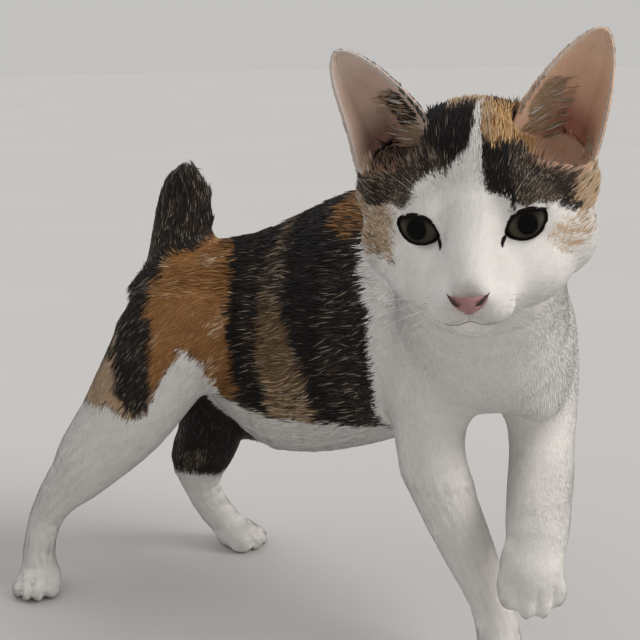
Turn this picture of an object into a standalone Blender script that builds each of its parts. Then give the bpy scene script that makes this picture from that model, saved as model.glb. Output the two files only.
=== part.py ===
"""A still, life-size american bobtail cat that steps forward on three feet with its left front paw raised.

The layout frame has its origin on the floor under the withers. +Z is up and the cat moves toward -Y, so its
left side is +X. The trunk bends round to the cat's right, so the chest and the pelvis have headings of their
own. The flesh is modelled whole, from lofts and ellipsoids fused by a voxel remesh, and is then parted.
"""

import math
from typing import NamedTuple

import bmesh
import bpy
from mathutils import Euler, Matrix, Vector

# Driving dimensions, in metres and degrees
GAP = 0.0003
TRUNK_LENGTH = 0.230
CHEST_HEADING = -18.5
PELVIS_HEADING = 65.5
EYE_RADIUS = 0.0120
EYE_CENTRE = Vector((0.0197, 0.0102, -0.0012))
LID_THICKNESS = 0.0026
EAR_THICKNESS = 0.0015
FORE_PAW_WIDTH = 0.038
HIND_PAW_WIDTH = 0.032

# The head's own frame has its origin midway between the eyes, faces -Y and is placed by these
HEAD_PLACE = Vector((-0.0835, -0.0907, 0.2560))
HEAD_TURN = Euler((math.radians(7.7), math.radians(-4.1), math.radians(-42.3)), "XYZ")

# Where the bounding box is centred in the layout frame, so that the origin ends at its bottom centre
BOX_CENTRE = Vector((-0.0662, 0.0605, 0.0))

# Fineness of the fused flesh
BODY_VOXEL = 0.0016
HEAD_VOXEL = 0.0010
BODY_TRIANGLES = 5200
HEAD_TRIANGLES = 3600
RING_SIDES = 28
RINGS_PER_SPAN = 3

# The torso's zone stands this far outside the trunk's surface, and a limb starts beyond it
ZONE_MARGIN = 0.0015


class Station(NamedTuple):
    """One cross-section of a loft: its middle, its half width to the side and its half depth."""

    middle: Vector
    side: float
    depth: float


class TrunkSection(NamedTuple):
    """One cross-section of the trunk, at a distance along the spine behind the withers."""

    along: float
    half_width: float
    top: float
    bottom: float


class Blob(NamedTuple):
    """An ellipsoid of the head, mirrored to both sides when it lies off the middle plane."""

    centre: Vector
    radii: Vector


TRUNK = [
    TrunkSection(-0.036, 0.021, 0.192, 0.154),
    TrunkSection(-0.020, 0.034, 0.216, 0.1435),
    TrunkSection(0.000, 0.041, 0.237, 0.1385),
    TrunkSection(0.030, 0.044, 0.242, 0.133),
    TrunkSection(0.060, 0.047, 0.244, 0.116),
    TrunkSection(0.090, 0.051, 0.244, 0.098),
    TrunkSection(0.120, 0.053, 0.241, 0.0855),
    TrunkSection(0.150, 0.050, 0.229, 0.0785),
    TrunkSection(0.180, 0.045, 0.215, 0.080),
    TrunkSection(0.210, 0.039, 0.208, 0.1040),
    TrunkSection(0.232, 0.035, 0.203, 0.1350),
    TrunkSection(0.248, 0.027, 0.196, 0.148),
    TrunkSection(0.260, 0.013, 0.186, 0.160),
]

NECK = [
    Station(Vector((0.006, 0.026, 0.182)), 0.044, 0.054),
    Station(Vector((-0.014, -0.006, 0.200)), 0.045, 0.050),
    Station(Vector((-0.037, -0.036, 0.225)), 0.042, 0.044),
    Station(Vector((-0.054, -0.057, 0.247)), 0.0335, 0.0345),
    Station(Vector((-0.063, -0.068, 0.259)), 0.0240, 0.0240),
]

FRONT_RIGHT = [
    Station(Vector((-0.016, 0.034, 0.214)), 0.012, 0.020),
    Station(Vector((-0.018, 0.032, 0.190)), 0.021, 0.030),
    Station(Vector((-0.016, 0.032, 0.164)), 0.024, 0.032),
    Station(Vector((-0.014, 0.038, 0.138)), 0.022, 0.027),
    Station(Vector((-0.0165, 0.0335, 0.116)), 0.020, 0.022),
    Station(Vector((-0.0150, 0.0185, 0.090)), 0.0168, 0.0172),
    Station(Vector((-0.0107, 0.0069, 0.068)), 0.0148, 0.0148),
    Station(Vector((-0.0055, -0.0050, 0.044)), 0.0122, 0.0119),
    Station(Vector((-0.0035, -0.0115, 0.026)), 0.0124, 0.0119),
    Station(Vector((-0.0038, -0.0157, 0.012)), 0.0130, 0.0121),
]

FRONT_LEFT = [
    Station(Vector((0.034, 0.018, 0.214)), 0.012, 0.020),
    Station(Vector((0.038, 0.014, 0.190)), 0.021, 0.030),
    Station(Vector((0.039, 0.011, 0.164)), 0.023, 0.032),
    Station(Vector((0.041, 0.012, 0.137)), 0.021, 0.026),
    Station(Vector((0.037, 0.006, 0.116)), 0.0195, 0.021),
    Station(Vector((0.018, -0.015, 0.100)), 0.0175, 0.017),
    Station(Vector((0.002, -0.033, 0.090)), 0.0170, 0.0150),
    Station(Vector((-0.005, -0.040, 0.078)), 0.0148, 0.0118),
]

HIND_RIGHT = [
    Station(Vector((-0.092, 0.172, 0.181)), 0.020, 0.028),
    Station(Vector((-0.099, 0.170, 0.157)), 0.027, 0.035),
    Station(Vector((-0.114, 0.1735, 0.133)), 0.027, 0.031),
    Station(Vector((-0.1285, 0.180, 0.109)), 0.0268, 0.0270),
    Station(Vector((-0.1455, 0.190, 0.0865)), 0.0222, 0.0220),
    Station(Vector((-0.1530, 0.196, 0.0745)), 0.0190, 0.0182),
    Station(Vector((-0.1635, 0.2045, 0.0600)), 0.0145, 0.0134),
    Station(Vector((-0.170, 0.2115, 0.045)), 0.0120, 0.0110),
    Station(Vector((-0.1745, 0.214, 0.027)), 0.0112, 0.0105),
    Station(Vector((-0.176, 0.2125, 0.014)), 0.0118, 0.0115),
]

HIND_LEFT = [
    Station(Vector((-0.066, 0.214, 0.165)), 0.020, 0.028),
    Station(Vector((-0.064, 0.212, 0.145)), 0.027, 0.036),
    Station(Vector((-0.058, 0.209, 0.110)), 0.024, 0.029),
    Station(Vector((-0.0595, 0.2115, 0.082)), 0.0205, 0.0220),
    Station(Vector((-0.065, 0.2185, 0.0600)), 0.0188, 0.0200),
    Station(Vector((-0.063, 0.222, 0.0400)), 0.0130, 0.0132),
    Station(Vector((-0.057, 0.219, 0.0240)), 0.0116, 0.0118),
    Station(Vector((-0.050, 0.213, 0.0130)), 0.0122, 0.0112),
]

# The fold of skin from the belly to the left knee
FLANK_FOLD = [
    Station(Vector((-0.003, 0.139, 0.106)), 0.011, 0.019),
    Station(Vector((-0.014, 0.157, 0.0975)), 0.012, 0.019),
    Station(Vector((-0.027, 0.178, 0.092)), 0.012, 0.019),
    Station(Vector((-0.042, 0.198, 0.091)), 0.011, 0.017),
]

TAIL = [
    Station(Vector((-0.080, 0.188, 0.176)), 0.018, 0.022),
    Station(Vector((-0.0815, 0.1915, 0.196)), 0.019, 0.0235),
    Station(Vector((-0.0808, 0.1926, 0.211)), 0.0172, 0.0200),
    Station(Vector((-0.0800, 0.1914, 0.228)), 0.0162, 0.0166),
    Station(Vector((-0.0765, 0.1895, 0.241)), 0.0142, 0.0144),
    Station(Vector((-0.0755, 0.1886, 0.2495)), 0.0094, 0.0094),
]

SNOUT = [
    Station(Vector((0.0, 0.008, 0.004)), 0.0130, 0.0120),
    Station(Vector((0.0, -0.008, -0.007)), 0.0105, 0.0095),
    Station(Vector((0.0, -0.020, -0.015)), 0.0085, 0.0080),
    Station(Vector((0.0, -0.0285, -0.0195)), 0.0064, 0.0058),
]

SKULL = [
    Blob(Vector((0.0, 0.030, 0.009)), Vector((0.0350, 0.031, 0.0335))),
    Blob(Vector((0.029, 0.026, 0.008)), Vector((0.0185, 0.021, 0.0250))),
    Blob(Vector((0.026, 0.021, -0.012)), Vector((0.0205, 0.022, 0.0200))),
    Blob(Vector((0.012, 0.012, -0.020)), Vector((0.0260, 0.026, 0.0190))),
    Blob(Vector((0.022, 0.010, -0.013)), Vector((0.0150, 0.013, 0.0100))),
    Blob(Vector((0.0175, 0.0095, 0.0095)), Vector((0.0130, 0.011, 0.0080))),
    Blob(Vector((0.0, -0.005, -0.020)), Vector((0.0210, 0.019, 0.0150))),
    Blob(Vector((0.0, 0.007, -0.028)), Vector((0.0240, 0.024, 0.0115))),
    Blob(Vector((0.0072, -0.0205, -0.0255)), Vector((0.0100, 0.0105, 0.0080))),
    Blob(Vector((0.0, -0.0170, -0.0338)), Vector((0.0095, 0.0088, 0.0054))),
]


# A paw's forms in units of its width over this count, from the middle of its sole, toes toward -Y
PAW_UNITS = 3.2
PAD = Blob(Vector((0.0, 0.30, 0.95)), Vector((1.42, 1.62, 1.08)))
INNER_TOE = Blob(Vector((0.37, -0.95, 0.62)), Vector((0.48, 0.95, 0.72)))
OUTER_TOE = Blob(Vector((1.08, -0.50, 0.62)), Vector((0.48, 0.95, 0.72)))

# Where each paw stands and the way its toes point, and how the raised one hangs
FRONT_RIGHT_SOLE = Vector((-0.007, -0.018, -0.001))
FRONT_RIGHT_HEADING = -22.0
HIND_RIGHT_SOLE = Vector((-0.178, 0.209, -0.001))
HIND_RIGHT_HEADING = -34.0
HIND_LEFT_SOLE = Vector((-0.045, 0.205, -0.001))
HIND_LEFT_HEADING = 36.0
RAISED_PAW_SOLE = Vector((-0.004, -0.033, 0.0655))
RAISED_PAW_HEADING = -24.0
RAISED_PAW_DROOP = 58.0

# The lids, nostrils and mouth, in the head's own frame
EYE_OUTWARD = 6.0
LID_CENTRE = Vector((0.0203, -0.0013))
LID_OPENING_WIDTH = 0.0188
LID_OPENING_UP = 0.0056
LID_OPENING_DOWN = 0.0060
LID_SLANT = 27.0
NOSTRIL = Vector((0.0036, -0.0345, -0.0205))
NOSTRIL_RADII = Vector((0.0014, 0.0030, 0.0009))
MOUTH_GROOVE = 0.0007
MOUTH_LINE = [
    Vector((0.0, -0.0300, -0.0280)),
    Vector((0.0050, -0.0300, -0.0302)),
    Vector((0.0100, -0.0275, -0.0310)),
    Vector((0.0150, -0.0225, -0.0300)),
]
PHILTRUM = [
    Vector((0.0, -0.0345, -0.0235)),
    Vector((0.0, -0.0325, -0.0258)),
    Vector((0.0, -0.0305, -0.0282)),
]

# The ear of the left side, in the head's own frame
EAR_BASE = Vector((0.0330, 0.0265, 0.0275))
EAR_TIP = Vector((0.0520, 0.0310, 0.0630))
EAR_HALF_BASE = Vector((0.0145, -0.0030, -0.0115))
EAR_DEPTH = 0.0150
EAR_ROOT = 0.35
EAR_TIP_WIDTH = 0.12
EAR_ROWS = 8
EAR_COLUMNS = 8
CUP_WAY = Vector((0.35, 0.94, 0.0))

# The hollow of the head in front of each ear's cup: its middle from the ear's base, up the ear and into the
# cup, and its radii along the base, up the ear and into the cup
HOLLOW_RISE = 0.0040
HOLLOW_FORWARD = 0.0045
HOLLOW_RADII = Vector((0.0190, 0.0168, 0.0175))

# The planes between the neck and the head and between the torso and the neck
NECK_HEAD_CUT = Vector((-0.044, -0.044, 0.234))
NECK_TORSO_CUT = Vector((-0.012, -0.004, 0.200))
NECK_AXIS = Vector((-0.49, -0.60, 0.58))
NECK_REACH = 0.075
FLOOR_REACH = 0.4

# The plane between the torso and the tail
TAIL_CUT = Vector((-0.084, 0.193, 0.203))
TAIL_AXIS = Vector((-0.41, 0.19, 0.89))
TAIL_REACH = 0.032

BODY_SMOOTHING = 8
HEAD_SMOOTHING = 26

# Pieces of flesh outside the torso with no more faces than this are scraps
SCRAP_FACES = 60

# A point on each piece of flesh outside the torso
SEEDS = [
    ("leg_front_right", Vector((-0.006, -0.016, 0.010))),
    ("leg_front_left", Vector((-0.012, -0.046, 0.070))),
    ("leg_hind_right", Vector((-0.174, 0.209, 0.010))),
    ("leg_hind_left", Vector((-0.048, 0.208, 0.010))),
]

WHITE_FUR = (0.62, 0.58, 0.54)
DARK_FUR = (0.05, 0.04, 0.035)
LOOKS = {
    "head": (WHITE_FUR, 0.8),
    "neck": (WHITE_FUR, 0.8),
    "torso": (DARK_FUR, 0.75),
    "tail": (DARK_FUR, 0.75),
    "leg_front_right": (WHITE_FUR, 0.8),
    "leg_front_left": (WHITE_FUR, 0.8),
    "leg_hind_right": (WHITE_FUR, 0.8),
    "leg_hind_left": (WHITE_FUR, 0.8),
    "ear_left": ((0.55, 0.33, 0.25), 0.7),
    "ear_right": ((0.45, 0.28, 0.22), 0.7),
    "eye_left": ((0.06, 0.05, 0.04), 0.08),
    "eye_right": ((0.06, 0.05, 0.04), 0.08),
}


def heading_frame(heading: float) -> tuple[Vector, Vector]:
    """Return the forward and the left directions on the floor for a heading in degrees from -Y."""
    angle = math.radians(heading)
    forward = Vector((math.sin(angle), -math.cos(angle), 0.0))
    left = Vector((math.cos(angle), math.sin(angle), 0.0))
    return forward, left


def spine_point(along: float) -> tuple[Vector, Vector]:
    """Return the point under the spine, and the left direction, at a distance behind the withers."""
    bend = math.radians(PELVIS_HEADING - CHEST_HEADING)
    radius = TRUNK_LENGTH / bend
    start = math.radians(CHEST_HEADING)
    inside = min(max(along, 0.0), TRUNK_LENGTH)
    angle = start + inside / radius
    across = math.cos(angle) - math.cos(start)
    back = math.sin(angle) - math.sin(start)
    point = Vector((across, back, 0.0)) * radius
    forward, left = heading_frame(math.degrees(angle))
    return point - forward * (along - inside), left


def new_object(name: str, mesh: bpy.types.Mesh) -> bpy.types.Object:
    """Link a new object that holds the mesh."""
    item = bpy.data.objects.new(name, mesh)
    bpy.context.scene.collection.objects.link(item)
    return item


def mesh_from(name: str, shape: bmesh.types.BMesh) -> bpy.types.Object:
    """Turn a bmesh into an object and free it."""
    bmesh.ops.recalc_face_normals(shape, faces=shape.faces)
    mesh = bpy.data.meshes.new(name)
    shape.to_mesh(mesh)
    shape.free()
    return new_object(name, mesh)


def spline_point(points: list[Vector], span: int, t: float) -> Vector:
    """Return a point of the Catmull-Rom curve through the points."""
    before = points[max(span - 1, 0)]
    start = points[span]
    end = points[span + 1]
    after = points[min(span + 2, len(points) - 1)]
    cubic = (start - end) * 3.0 + after - before
    square = before * 2.0 - start * 5.0 + end * 4.0 - after
    return (start * 2.0 + (end - before) * t + square * t * t + cubic * t * t * t) * 0.5


def smooth_rows(rows: list[Vector]) -> list[Vector]:
    """Return the rows with further ones between them, on a smooth curve."""
    finer = []
    for span in range(len(rows) - 1):
        for step in range(RINGS_PER_SPAN):
            finer.append(spline_point(rows, span, step / RINGS_PER_SPAN))
    finer.append(rows[-1].copy())
    return finer


def bridge_rings(name: str, rings: list[list[Vector]]) -> bpy.types.Object:
    """Skin closed rings of equal count one after another, and close both ends."""
    shape = bmesh.new()
    rows = [[shape.verts.new(point) for point in ring] for ring in rings]
    count = len(rows[0])
    for near, far in zip(rows, rows[1:]):
        for i in range(count):
            j = (i + 1) % count
            shape.faces.new((near[i], near[j], far[j], far[i]))
    shape.faces.new(rows[0])
    shape.faces.new(rows[-1])
    return mesh_from(name, shape)


def ring(middle: Vector, side: Vector, rise: Vector) -> list[Vector]:
    """Return an ellipse of points from its two half axes."""
    turns = [2.0 * math.pi * i / RING_SIDES for i in range(RING_SIDES)]
    return [middle + side * math.cos(a) + rise * math.sin(a) for a in turns]


def loft(name: str, stations: list[Station], side_hint: Vector) -> bpy.types.Object:
    """Loft elliptical sections along the smooth curve through the stations' middles."""
    middles = smooth_rows([station.middle for station in stations])
    sizes = smooth_rows([Vector((station.side, station.depth, 0.0)) for station in stations])
    rings = []
    for i, middle in enumerate(middles):
        tangent = (middles[min(i + 1, len(middles) - 1)] - middles[max(i - 1, 0)]).normalized()
        side = (side_hint - tangent * side_hint.dot(tangent)).normalized()
        rings.append(ring(middle, side * sizes[i].x, tangent.cross(side) * sizes[i].y))
    return bridge_rings(name, rings)


def trunk(name: str, grow: float) -> bpy.types.Object:
    """Loft the trunk along the bent spine, standing out by a margin all round."""
    rows = smooth_rows([Vector((cut.along, cut.half_width, cut.top)) for cut in TRUNK])
    bottoms = smooth_rows([Vector((cut.bottom, 0.0, 0.0)) for cut in TRUNK])
    rings = []
    for row, bottom in zip(rows, bottoms):
        point, left = spine_point(row.x)
        middle = point + Vector((0.0, 0.0, (row.z + bottom.x) / 2.0))
        half_height = (row.z - bottom.x) / 2.0 + grow
        rings.append(ring(middle, left * (row.y + grow), Vector((0.0, 0.0, half_height))))
    half = RING_SIDES // 2
    for end, beside in ((0, 1), (-1, -2)):
        outward = rings[end][0] - rings[beside][0] + rings[end][half] - rings[beside][half]
        shift = outward.normalized() * grow
        rings[end] = [point + shift for point in rings[end]]
    return bridge_rings(name, rings)


def ellipsoid(name: str, placing: Matrix, radii: Vector) -> bpy.types.Object:
    """Make an ellipsoid in a placed frame."""
    shape = bmesh.new()
    bmesh.ops.create_uvsphere(shape, u_segments=24, v_segments=14, radius=1.0)
    bmesh.ops.transform(shape, matrix=placing @ Matrix.Diagonal(radii.to_4d()), verts=shape.verts)
    return mesh_from(name, shape)


def frame_matrix(origin: Vector, x_axis: Vector, y_axis: Vector) -> Matrix:
    """Return the placing of a frame from its origin, its X axis and a hint of its Y axis."""
    first = x_axis.normalized()
    third = first.cross(y_axis).normalized()
    second = third.cross(first)
    turn = Matrix((first, second, third)).transposed()
    return Matrix.Translation(origin) @ turn.to_4x4()


def paw(origin: Vector, forward: Vector, left: Vector, width: float) -> list[bpy.types.Object]:
    """Make a paw's pad and four toes; the origin is the middle of the sole under the toes' roots."""
    placing = frame_matrix(origin, left, -forward)
    unit = width / PAW_UNITS
    forms = [("pad", PAD)]
    for form in (INNER_TOE, OUTER_TOE):
        for side in (1.0, -1.0):
            centre = Vector((form.centre.x * side, form.centre.y, form.centre.z))
            forms.append(("toe", Blob(centre, form.radii)))
    return [ellipsoid(name, placing @ Matrix.Translation(form.centre * unit), form.radii * unit)
            for name, form in forms]


def evaluated_mesh(item: bpy.types.Object) -> bpy.types.Mesh:
    """Return a new mesh of the object with its modifiers applied."""
    graph = bpy.context.evaluated_depsgraph_get()
    return bpy.data.meshes.new_from_object(item.evaluated_get(graph))


def apply_modifiers(item: bpy.types.Object) -> None:
    """Replace the object's mesh by its evaluated one."""
    mesh = evaluated_mesh(item)
    item.modifiers.clear()
    item.data = mesh


def fuse(name: str, pieces: list[bpy.types.Object], voxel: float, smoothing: int,
         triangles: int) -> bpy.types.Object:
    """Fuse overlapping solids into one smooth closed skin of about the wanted count of triangles."""
    shape = bmesh.new()
    for piece in pieces:
        shape.from_mesh(piece.data)
        bpy.data.objects.remove(piece)
    body = mesh_from(name, shape)
    remesh = body.modifiers.new("Fuse", "REMESH")
    remesh.mode = "VOXEL"
    remesh.voxel_size = voxel
    blend = body.modifiers.new("Blend", "SMOOTH")
    blend.factor = 0.5
    blend.iterations = smoothing
    apply_modifiers(body)
    thin = body.modifiers.new("Thin out", "DECIMATE")
    thin.ratio = triangles / (2.0 * len(body.data.polygons))
    apply_modifiers(body)
    return body


def largest_piece(shape: bmesh.types.BMesh) -> None:
    """Keep only the largest connected surface of a bmesh."""
    groups = connected_groups(shape)
    keep = set(max(groups, key=lambda group: sum(face.calc_area() for face in group)))
    loose = [face for face in shape.faces if face not in keep]
    bmesh.ops.delete(shape, geom=loose, context="FACES")


def connected_groups(shape: bmesh.types.BMesh) -> list[list[bmesh.types.BMFace]]:
    """Return the faces of a bmesh in connected groups."""
    seen = set()
    groups = []
    for first in shape.faces:
        if first in seen:
            continue
        seen.add(first)
        group = [first]
        for face in group:
            for edge in face.edges:
                for other in edge.link_faces:
                    if other not in seen:
                        seen.add(other)
                        group.append(other)
        groups.append(group)
    return groups


def boolean(item: bpy.types.Object, tool: bpy.types.Object, operation: str) -> None:
    """Apply one Boolean to the object and keep the largest piece of what it leaves."""
    cut = item.modifiers.new("Cut", "BOOLEAN")
    cut.operation = operation
    cut.solver = "EXACT"
    cut.object = tool
    apply_modifiers(item)
    shape = bmesh.new()
    shape.from_mesh(item.data)
    bmesh.ops.dissolve_degenerate(shape, dist=0.00002, edges=shape.edges)
    largest_piece(shape)
    shape.to_mesh(item.data)
    shape.free()


def duplicate(item: bpy.types.Object, name: str, grow: float = 0.0) -> bpy.types.Object:
    """Copy an object, moved out along its normals by a margin."""
    shape = bmesh.new()
    shape.from_mesh(item.data)
    shape.normal_update()
    shifts = [(vert, vert.normal * grow) for vert in shape.verts]
    for vert, shift in shifts:
        vert.co += shift
    mesh = bpy.data.meshes.new(name)
    shape.to_mesh(mesh)
    shape.free()
    return new_object(name, mesh)


def half_space(name: str, point: Vector, normal: Vector, reach: float) -> bpy.types.Object:
    """Make a box whose near face passes through the point, on the side that the normal shows."""
    shape = bmesh.new()
    bmesh.ops.create_cube(shape, size=2.0 * reach)
    turn = normal.to_track_quat("Z", "Y").to_matrix().to_4x4()
    placing = Matrix.Translation(point + normal.normalized() * reach) @ turn
    bmesh.ops.transform(shape, matrix=placing, verts=shape.verts)
    return mesh_from(name, shape)


def remove_all(items: list[bpy.types.Object]) -> None:
    """Remove helper objects."""
    for item in items:
        bpy.data.objects.remove(item)


def part_off(whole: bpy.types.Object, name: str, point: Vector, normal: Vector,
             reach: float) -> bpy.types.Object:
    """Take the part of a solid beyond a plane as an object of its own, and leave the gap at the cut."""
    step = normal.normalized() * GAP
    beyond = half_space("beyond", point + step, normal, reach)
    cleared = half_space("cleared", point, normal, reach)
    piece = duplicate(whole, name)
    boolean(piece, beyond, "INTERSECT")
    boolean(whole, cleared, "DIFFERENCE")
    remove_all([beyond, cleared])
    return piece


def head_matrix() -> Matrix:
    """Return the placing of the head's own frame."""
    return Matrix.Translation(HEAD_PLACE) @ HEAD_TURN.to_matrix().to_4x4()


def neck_loft() -> bpy.types.Object:
    """Loft the neck from inside the chest up into the skull."""
    return loft("neck form", NECK, Vector((1.0, -0.9, 0.0)))


def build_body() -> bpy.types.Object:
    """Fuse the trunk, neck, legs, paws and tail, and trim the soles at floor level."""
    chest_left = heading_frame(CHEST_HEADING)[1]
    pelvis_left = heading_frame(PELVIS_HEADING)[1]
    pieces = [trunk("trunk form", 0.0), neck_loft()]
    pieces.append(loft("front right form", FRONT_RIGHT, chest_left))
    pieces.append(loft("front left form", FRONT_LEFT, chest_left))
    pieces.append(loft("hind right form", HIND_RIGHT, pelvis_left))
    pieces.append(loft("hind left form", HIND_LEFT, pelvis_left))
    pieces.append(loft("flank fold form", FLANK_FOLD, pelvis_left))
    pieces.append(loft("tail form", TAIL, pelvis_left))
    for sole, heading, width in ((FRONT_RIGHT_SOLE, FRONT_RIGHT_HEADING, FORE_PAW_WIDTH),
                                 (HIND_RIGHT_SOLE, HIND_RIGHT_HEADING, HIND_PAW_WIDTH),
                                 (HIND_LEFT_SOLE, HIND_LEFT_HEADING, HIND_PAW_WIDTH)):
        forward, left = heading_frame(heading)
        pieces.extend(paw(sole, forward, left, width))
    forward, left = heading_frame(RAISED_PAW_HEADING)
    droop = math.radians(RAISED_PAW_DROOP)
    pointing = forward * math.cos(droop) - Vector((0.0, 0.0, 1.0)) * math.sin(droop)
    pieces.extend(paw(RAISED_PAW_SOLE, pointing, left, FORE_PAW_WIDTH))
    body = fuse("body", pieces, BODY_VOXEL, BODY_SMOOTHING, BODY_TRIANGLES)
    floor_middle = Vector((BOX_CENTRE.x, BOX_CENTRE.y, 0.0))
    below = half_space("below the floor", floor_middle, Vector((0.0, 0.0, -1.0)), FLOOR_REACH)
    boolean(body, below, "DIFFERENCE")
    remove_all([below])
    return body


def build_head() -> bpy.types.Object:
    """Fuse the skull, snout, lids and neck, then open the eyes, the mouth line and the nostrils."""
    placing = head_matrix()
    pieces = [neck_loft()]
    snout = loft("snout form", SNOUT, Vector((1.0, 0.0, 0.0)))
    snout.data.transform(placing)
    pieces.append(snout)
    blobs = SKULL + [Blob(EYE_CENTRE, Vector((1.0, 1.0, 1.0)) * (EYE_RADIUS + LID_THICKNESS))]
    for blob in blobs:
        for side in (1.0, -1.0) if blob.centre.x > 0.0 else (1.0,):
            centre = Vector((blob.centre.x * side, blob.centre.y, blob.centre.z))
            pieces.append(ellipsoid("skull form", placing @ Matrix.Translation(centre), blob.radii))
    head = fuse("head", pieces, HEAD_VOXEL, HEAD_SMOOTHING, HEAD_TRIANGLES)
    for side in (1.0, -1.0):
        hollow_ear(head, placing, side)
        open_eye(head, placing, side)
        open_nostril(head, placing, side)
    open_mouth(head, placing)
    return head


def hollow_ear(head: bpy.types.Object, placing: Matrix, side: float) -> None:
    """Hollow the head in front of one ear, so that its cup opens forward down to its base."""
    mirror = Vector((side, 1.0, 1.0))
    across = EAR_HALF_BASE * mirror
    rise = ((EAR_TIP - EAR_BASE) * mirror).normalized()
    inward = (CUP_WAY * mirror).normalized()
    middle = EAR_BASE * mirror + rise * HOLLOW_RISE - inward * HOLLOW_FORWARD
    frame = frame_matrix(middle, across, rise)
    hollow = ellipsoid("ear hollow", placing @ frame, HOLLOW_RADII)
    boolean(head, hollow, "DIFFERENCE")
    remove_all([hollow])


def eye_placing(placing: Matrix, side: float) -> Matrix:
    """Return the placing of one eye, whose -Y axis is the way it looks."""
    centre = Vector((EYE_CENTRE.x * side, EYE_CENTRE.y, EYE_CENTRE.z))
    turn = Matrix.Rotation(math.radians(EYE_OUTWARD * side), 4, "Z")
    return placing @ Matrix.Translation(centre) @ turn


def open_eye(head: bpy.types.Object, placing: Matrix, side: float) -> None:
    """Cut the slanted almond between the lids, then hollow the socket behind them."""
    rim = []
    for i in range(RING_SIDES):
        angle = 2.0 * math.pi * i / RING_SIDES
        across = math.cos(angle)
        taper = 1.0 - abs(across) ** 3
        height = LID_OPENING_UP if math.sin(angle) > 0.0 else LID_OPENING_DOWN
        rim.append((across * LID_OPENING_WIDTH / 2.0, math.sin(angle) * height * (0.35 + 0.65 * taper)))
    slant = math.radians(LID_SLANT)
    rings = []
    for depth in (EYE_CENTRE.y, -0.02):
        points = []
        for across, rise in rim:
            x = LID_CENTRE.x + across * math.cos(slant) - rise * math.sin(slant)
            z = LID_CENTRE.y + across * math.sin(slant) + rise * math.cos(slant)
            points.append(placing @ Vector((x * side, depth, z)))
        rings.append(points)
    almond = bridge_rings("almond", rings)
    boolean(head, almond, "DIFFERENCE")
    radius = EYE_RADIUS + GAP
    socket = ellipsoid("socket", eye_placing(placing, side), Vector((radius, radius, radius)))
    boolean(head, socket, "DIFFERENCE")
    remove_all([socket, almond])


def open_nostril(head: bpy.types.Object, placing: Matrix, side: float) -> None:
    """Sink one nostril into the nose."""
    place = Matrix.Translation((NOSTRIL.x * side, NOSTRIL.y, NOSTRIL.z))
    nostril = ellipsoid("nostril", placing @ place, NOSTRIL_RADII)
    boolean(head, nostril, "DIFFERENCE")
    remove_all([nostril])


def open_mouth(head: bpy.types.Object, placing: Matrix) -> None:
    """Cut the groove under the nose and the line of the mouth from corner to corner."""
    side_line = [Station(Vector((point.x * side, point.y, point.z)), MOUTH_GROOVE, MOUTH_GROOVE)
                 for side, points in ((-1.0, MOUTH_LINE[::-1]), (1.0, MOUTH_LINE[1:])) for point in points]
    lines = [side_line, [Station(point, MOUTH_GROOVE, MOUTH_GROOVE) for point in PHILTRUM]]
    for line in lines:
        groove = loft("groove", line, Vector((0.0, -1.0, 0.2)))
        groove.data.transform(placing)
        boolean(head, groove, "DIFFERENCE")
        remove_all([groove])


def build_ear(name: str, side: float, head: bpy.types.Object) -> bpy.types.Object:
    """Curl an ear's cup from its outline, thicken it and fit its root on the head."""
    placing = head_matrix()
    shape = bmesh.new()
    rows = []
    for i in range(EAR_ROWS + 1):
        s = -EAR_ROOT + (1.0 + EAR_ROOT) * math.sin(0.5 * math.pi * i / EAR_ROWS)
        width = max((1.0 - max(s, 0.0) ** 1.8) ** 0.78, EAR_TIP_WIDTH)
        middle = EAR_BASE.lerp(EAR_TIP, s)
        row = []
        for j in range(EAR_COLUMNS + 1):
            t = 2.0 * j / EAR_COLUMNS - 1.0
            cup = EAR_DEPTH * (1.0 - t * t) * (1.0 - max(s, 0.0)) ** 0.8
            flare = EAR_HALF_BASE * (t * width)
            point = middle + flare + CUP_WAY * cup
            row.append(shape.verts.new(placing @ Vector((point.x * side, point.y, point.z))))
        rows.append(row)
    for near, far in zip(rows, rows[1:]):
        for j in range(EAR_COLUMNS):
            shape.faces.new((near[j], near[j + 1], far[j + 1], far[j]))
    ear = mesh_from(name, shape)
    shell = ear.modifiers.new("Thickness", "SOLIDIFY")
    shell.thickness = EAR_THICKNESS
    shell.offset = 0.0
    shell.use_even_offset = False
    apply_modifiers(ear)
    around = duplicate(head, "around the head", GAP)
    boolean(ear, around, "DIFFERENCE")
    remove_all([around])
    return ear


def build_eye(name: str, side: float) -> bpy.types.Object:
    """Make one eyeball."""
    shape = bmesh.new()
    bmesh.ops.create_uvsphere(shape, u_segments=20, v_segments=14, radius=EYE_RADIUS)
    turn = Matrix.Rotation(math.radians(90.0), 4, "X")
    bmesh.ops.transform(shape, matrix=eye_placing(head_matrix(), side) @ turn, verts=shape.verts)
    return mesh_from(name, shape)


def limb_near(outside: bpy.types.Object, name: str, seed: Vector) -> bpy.types.Object:
    """Take the loose piece of the flesh outside the torso that lies nearest to a point."""
    shape = bmesh.new()
    shape.from_mesh(outside.data)
    groups = connected_groups(shape)
    solid = [group for group in groups if len(group) > SCRAP_FACES]
    reach = [min((face.calc_center_median() - seed).length for face in group) for group in solid]
    keep = set(solid[reach.index(min(reach))])
    loose = [face for face in shape.faces if face not in keep]
    bmesh.ops.delete(shape, geom=loose, context="FACES")
    return mesh_from(name, shape)


def split_outside(body: bpy.types.Object) -> bpy.types.Object:
    """Return the flesh that stands outside the torso's zone, all pieces in one object."""
    zone = trunk("cleared zone", ZONE_MARGIN + GAP)
    outside = duplicate(body, "outside")
    cut = outside.modifiers.new("Cut", "BOOLEAN")
    cut.operation = "DIFFERENCE"
    cut.solver = "EXACT"
    cut.object = zone
    apply_modifiers(outside)
    remove_all([zone])
    return outside


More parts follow.
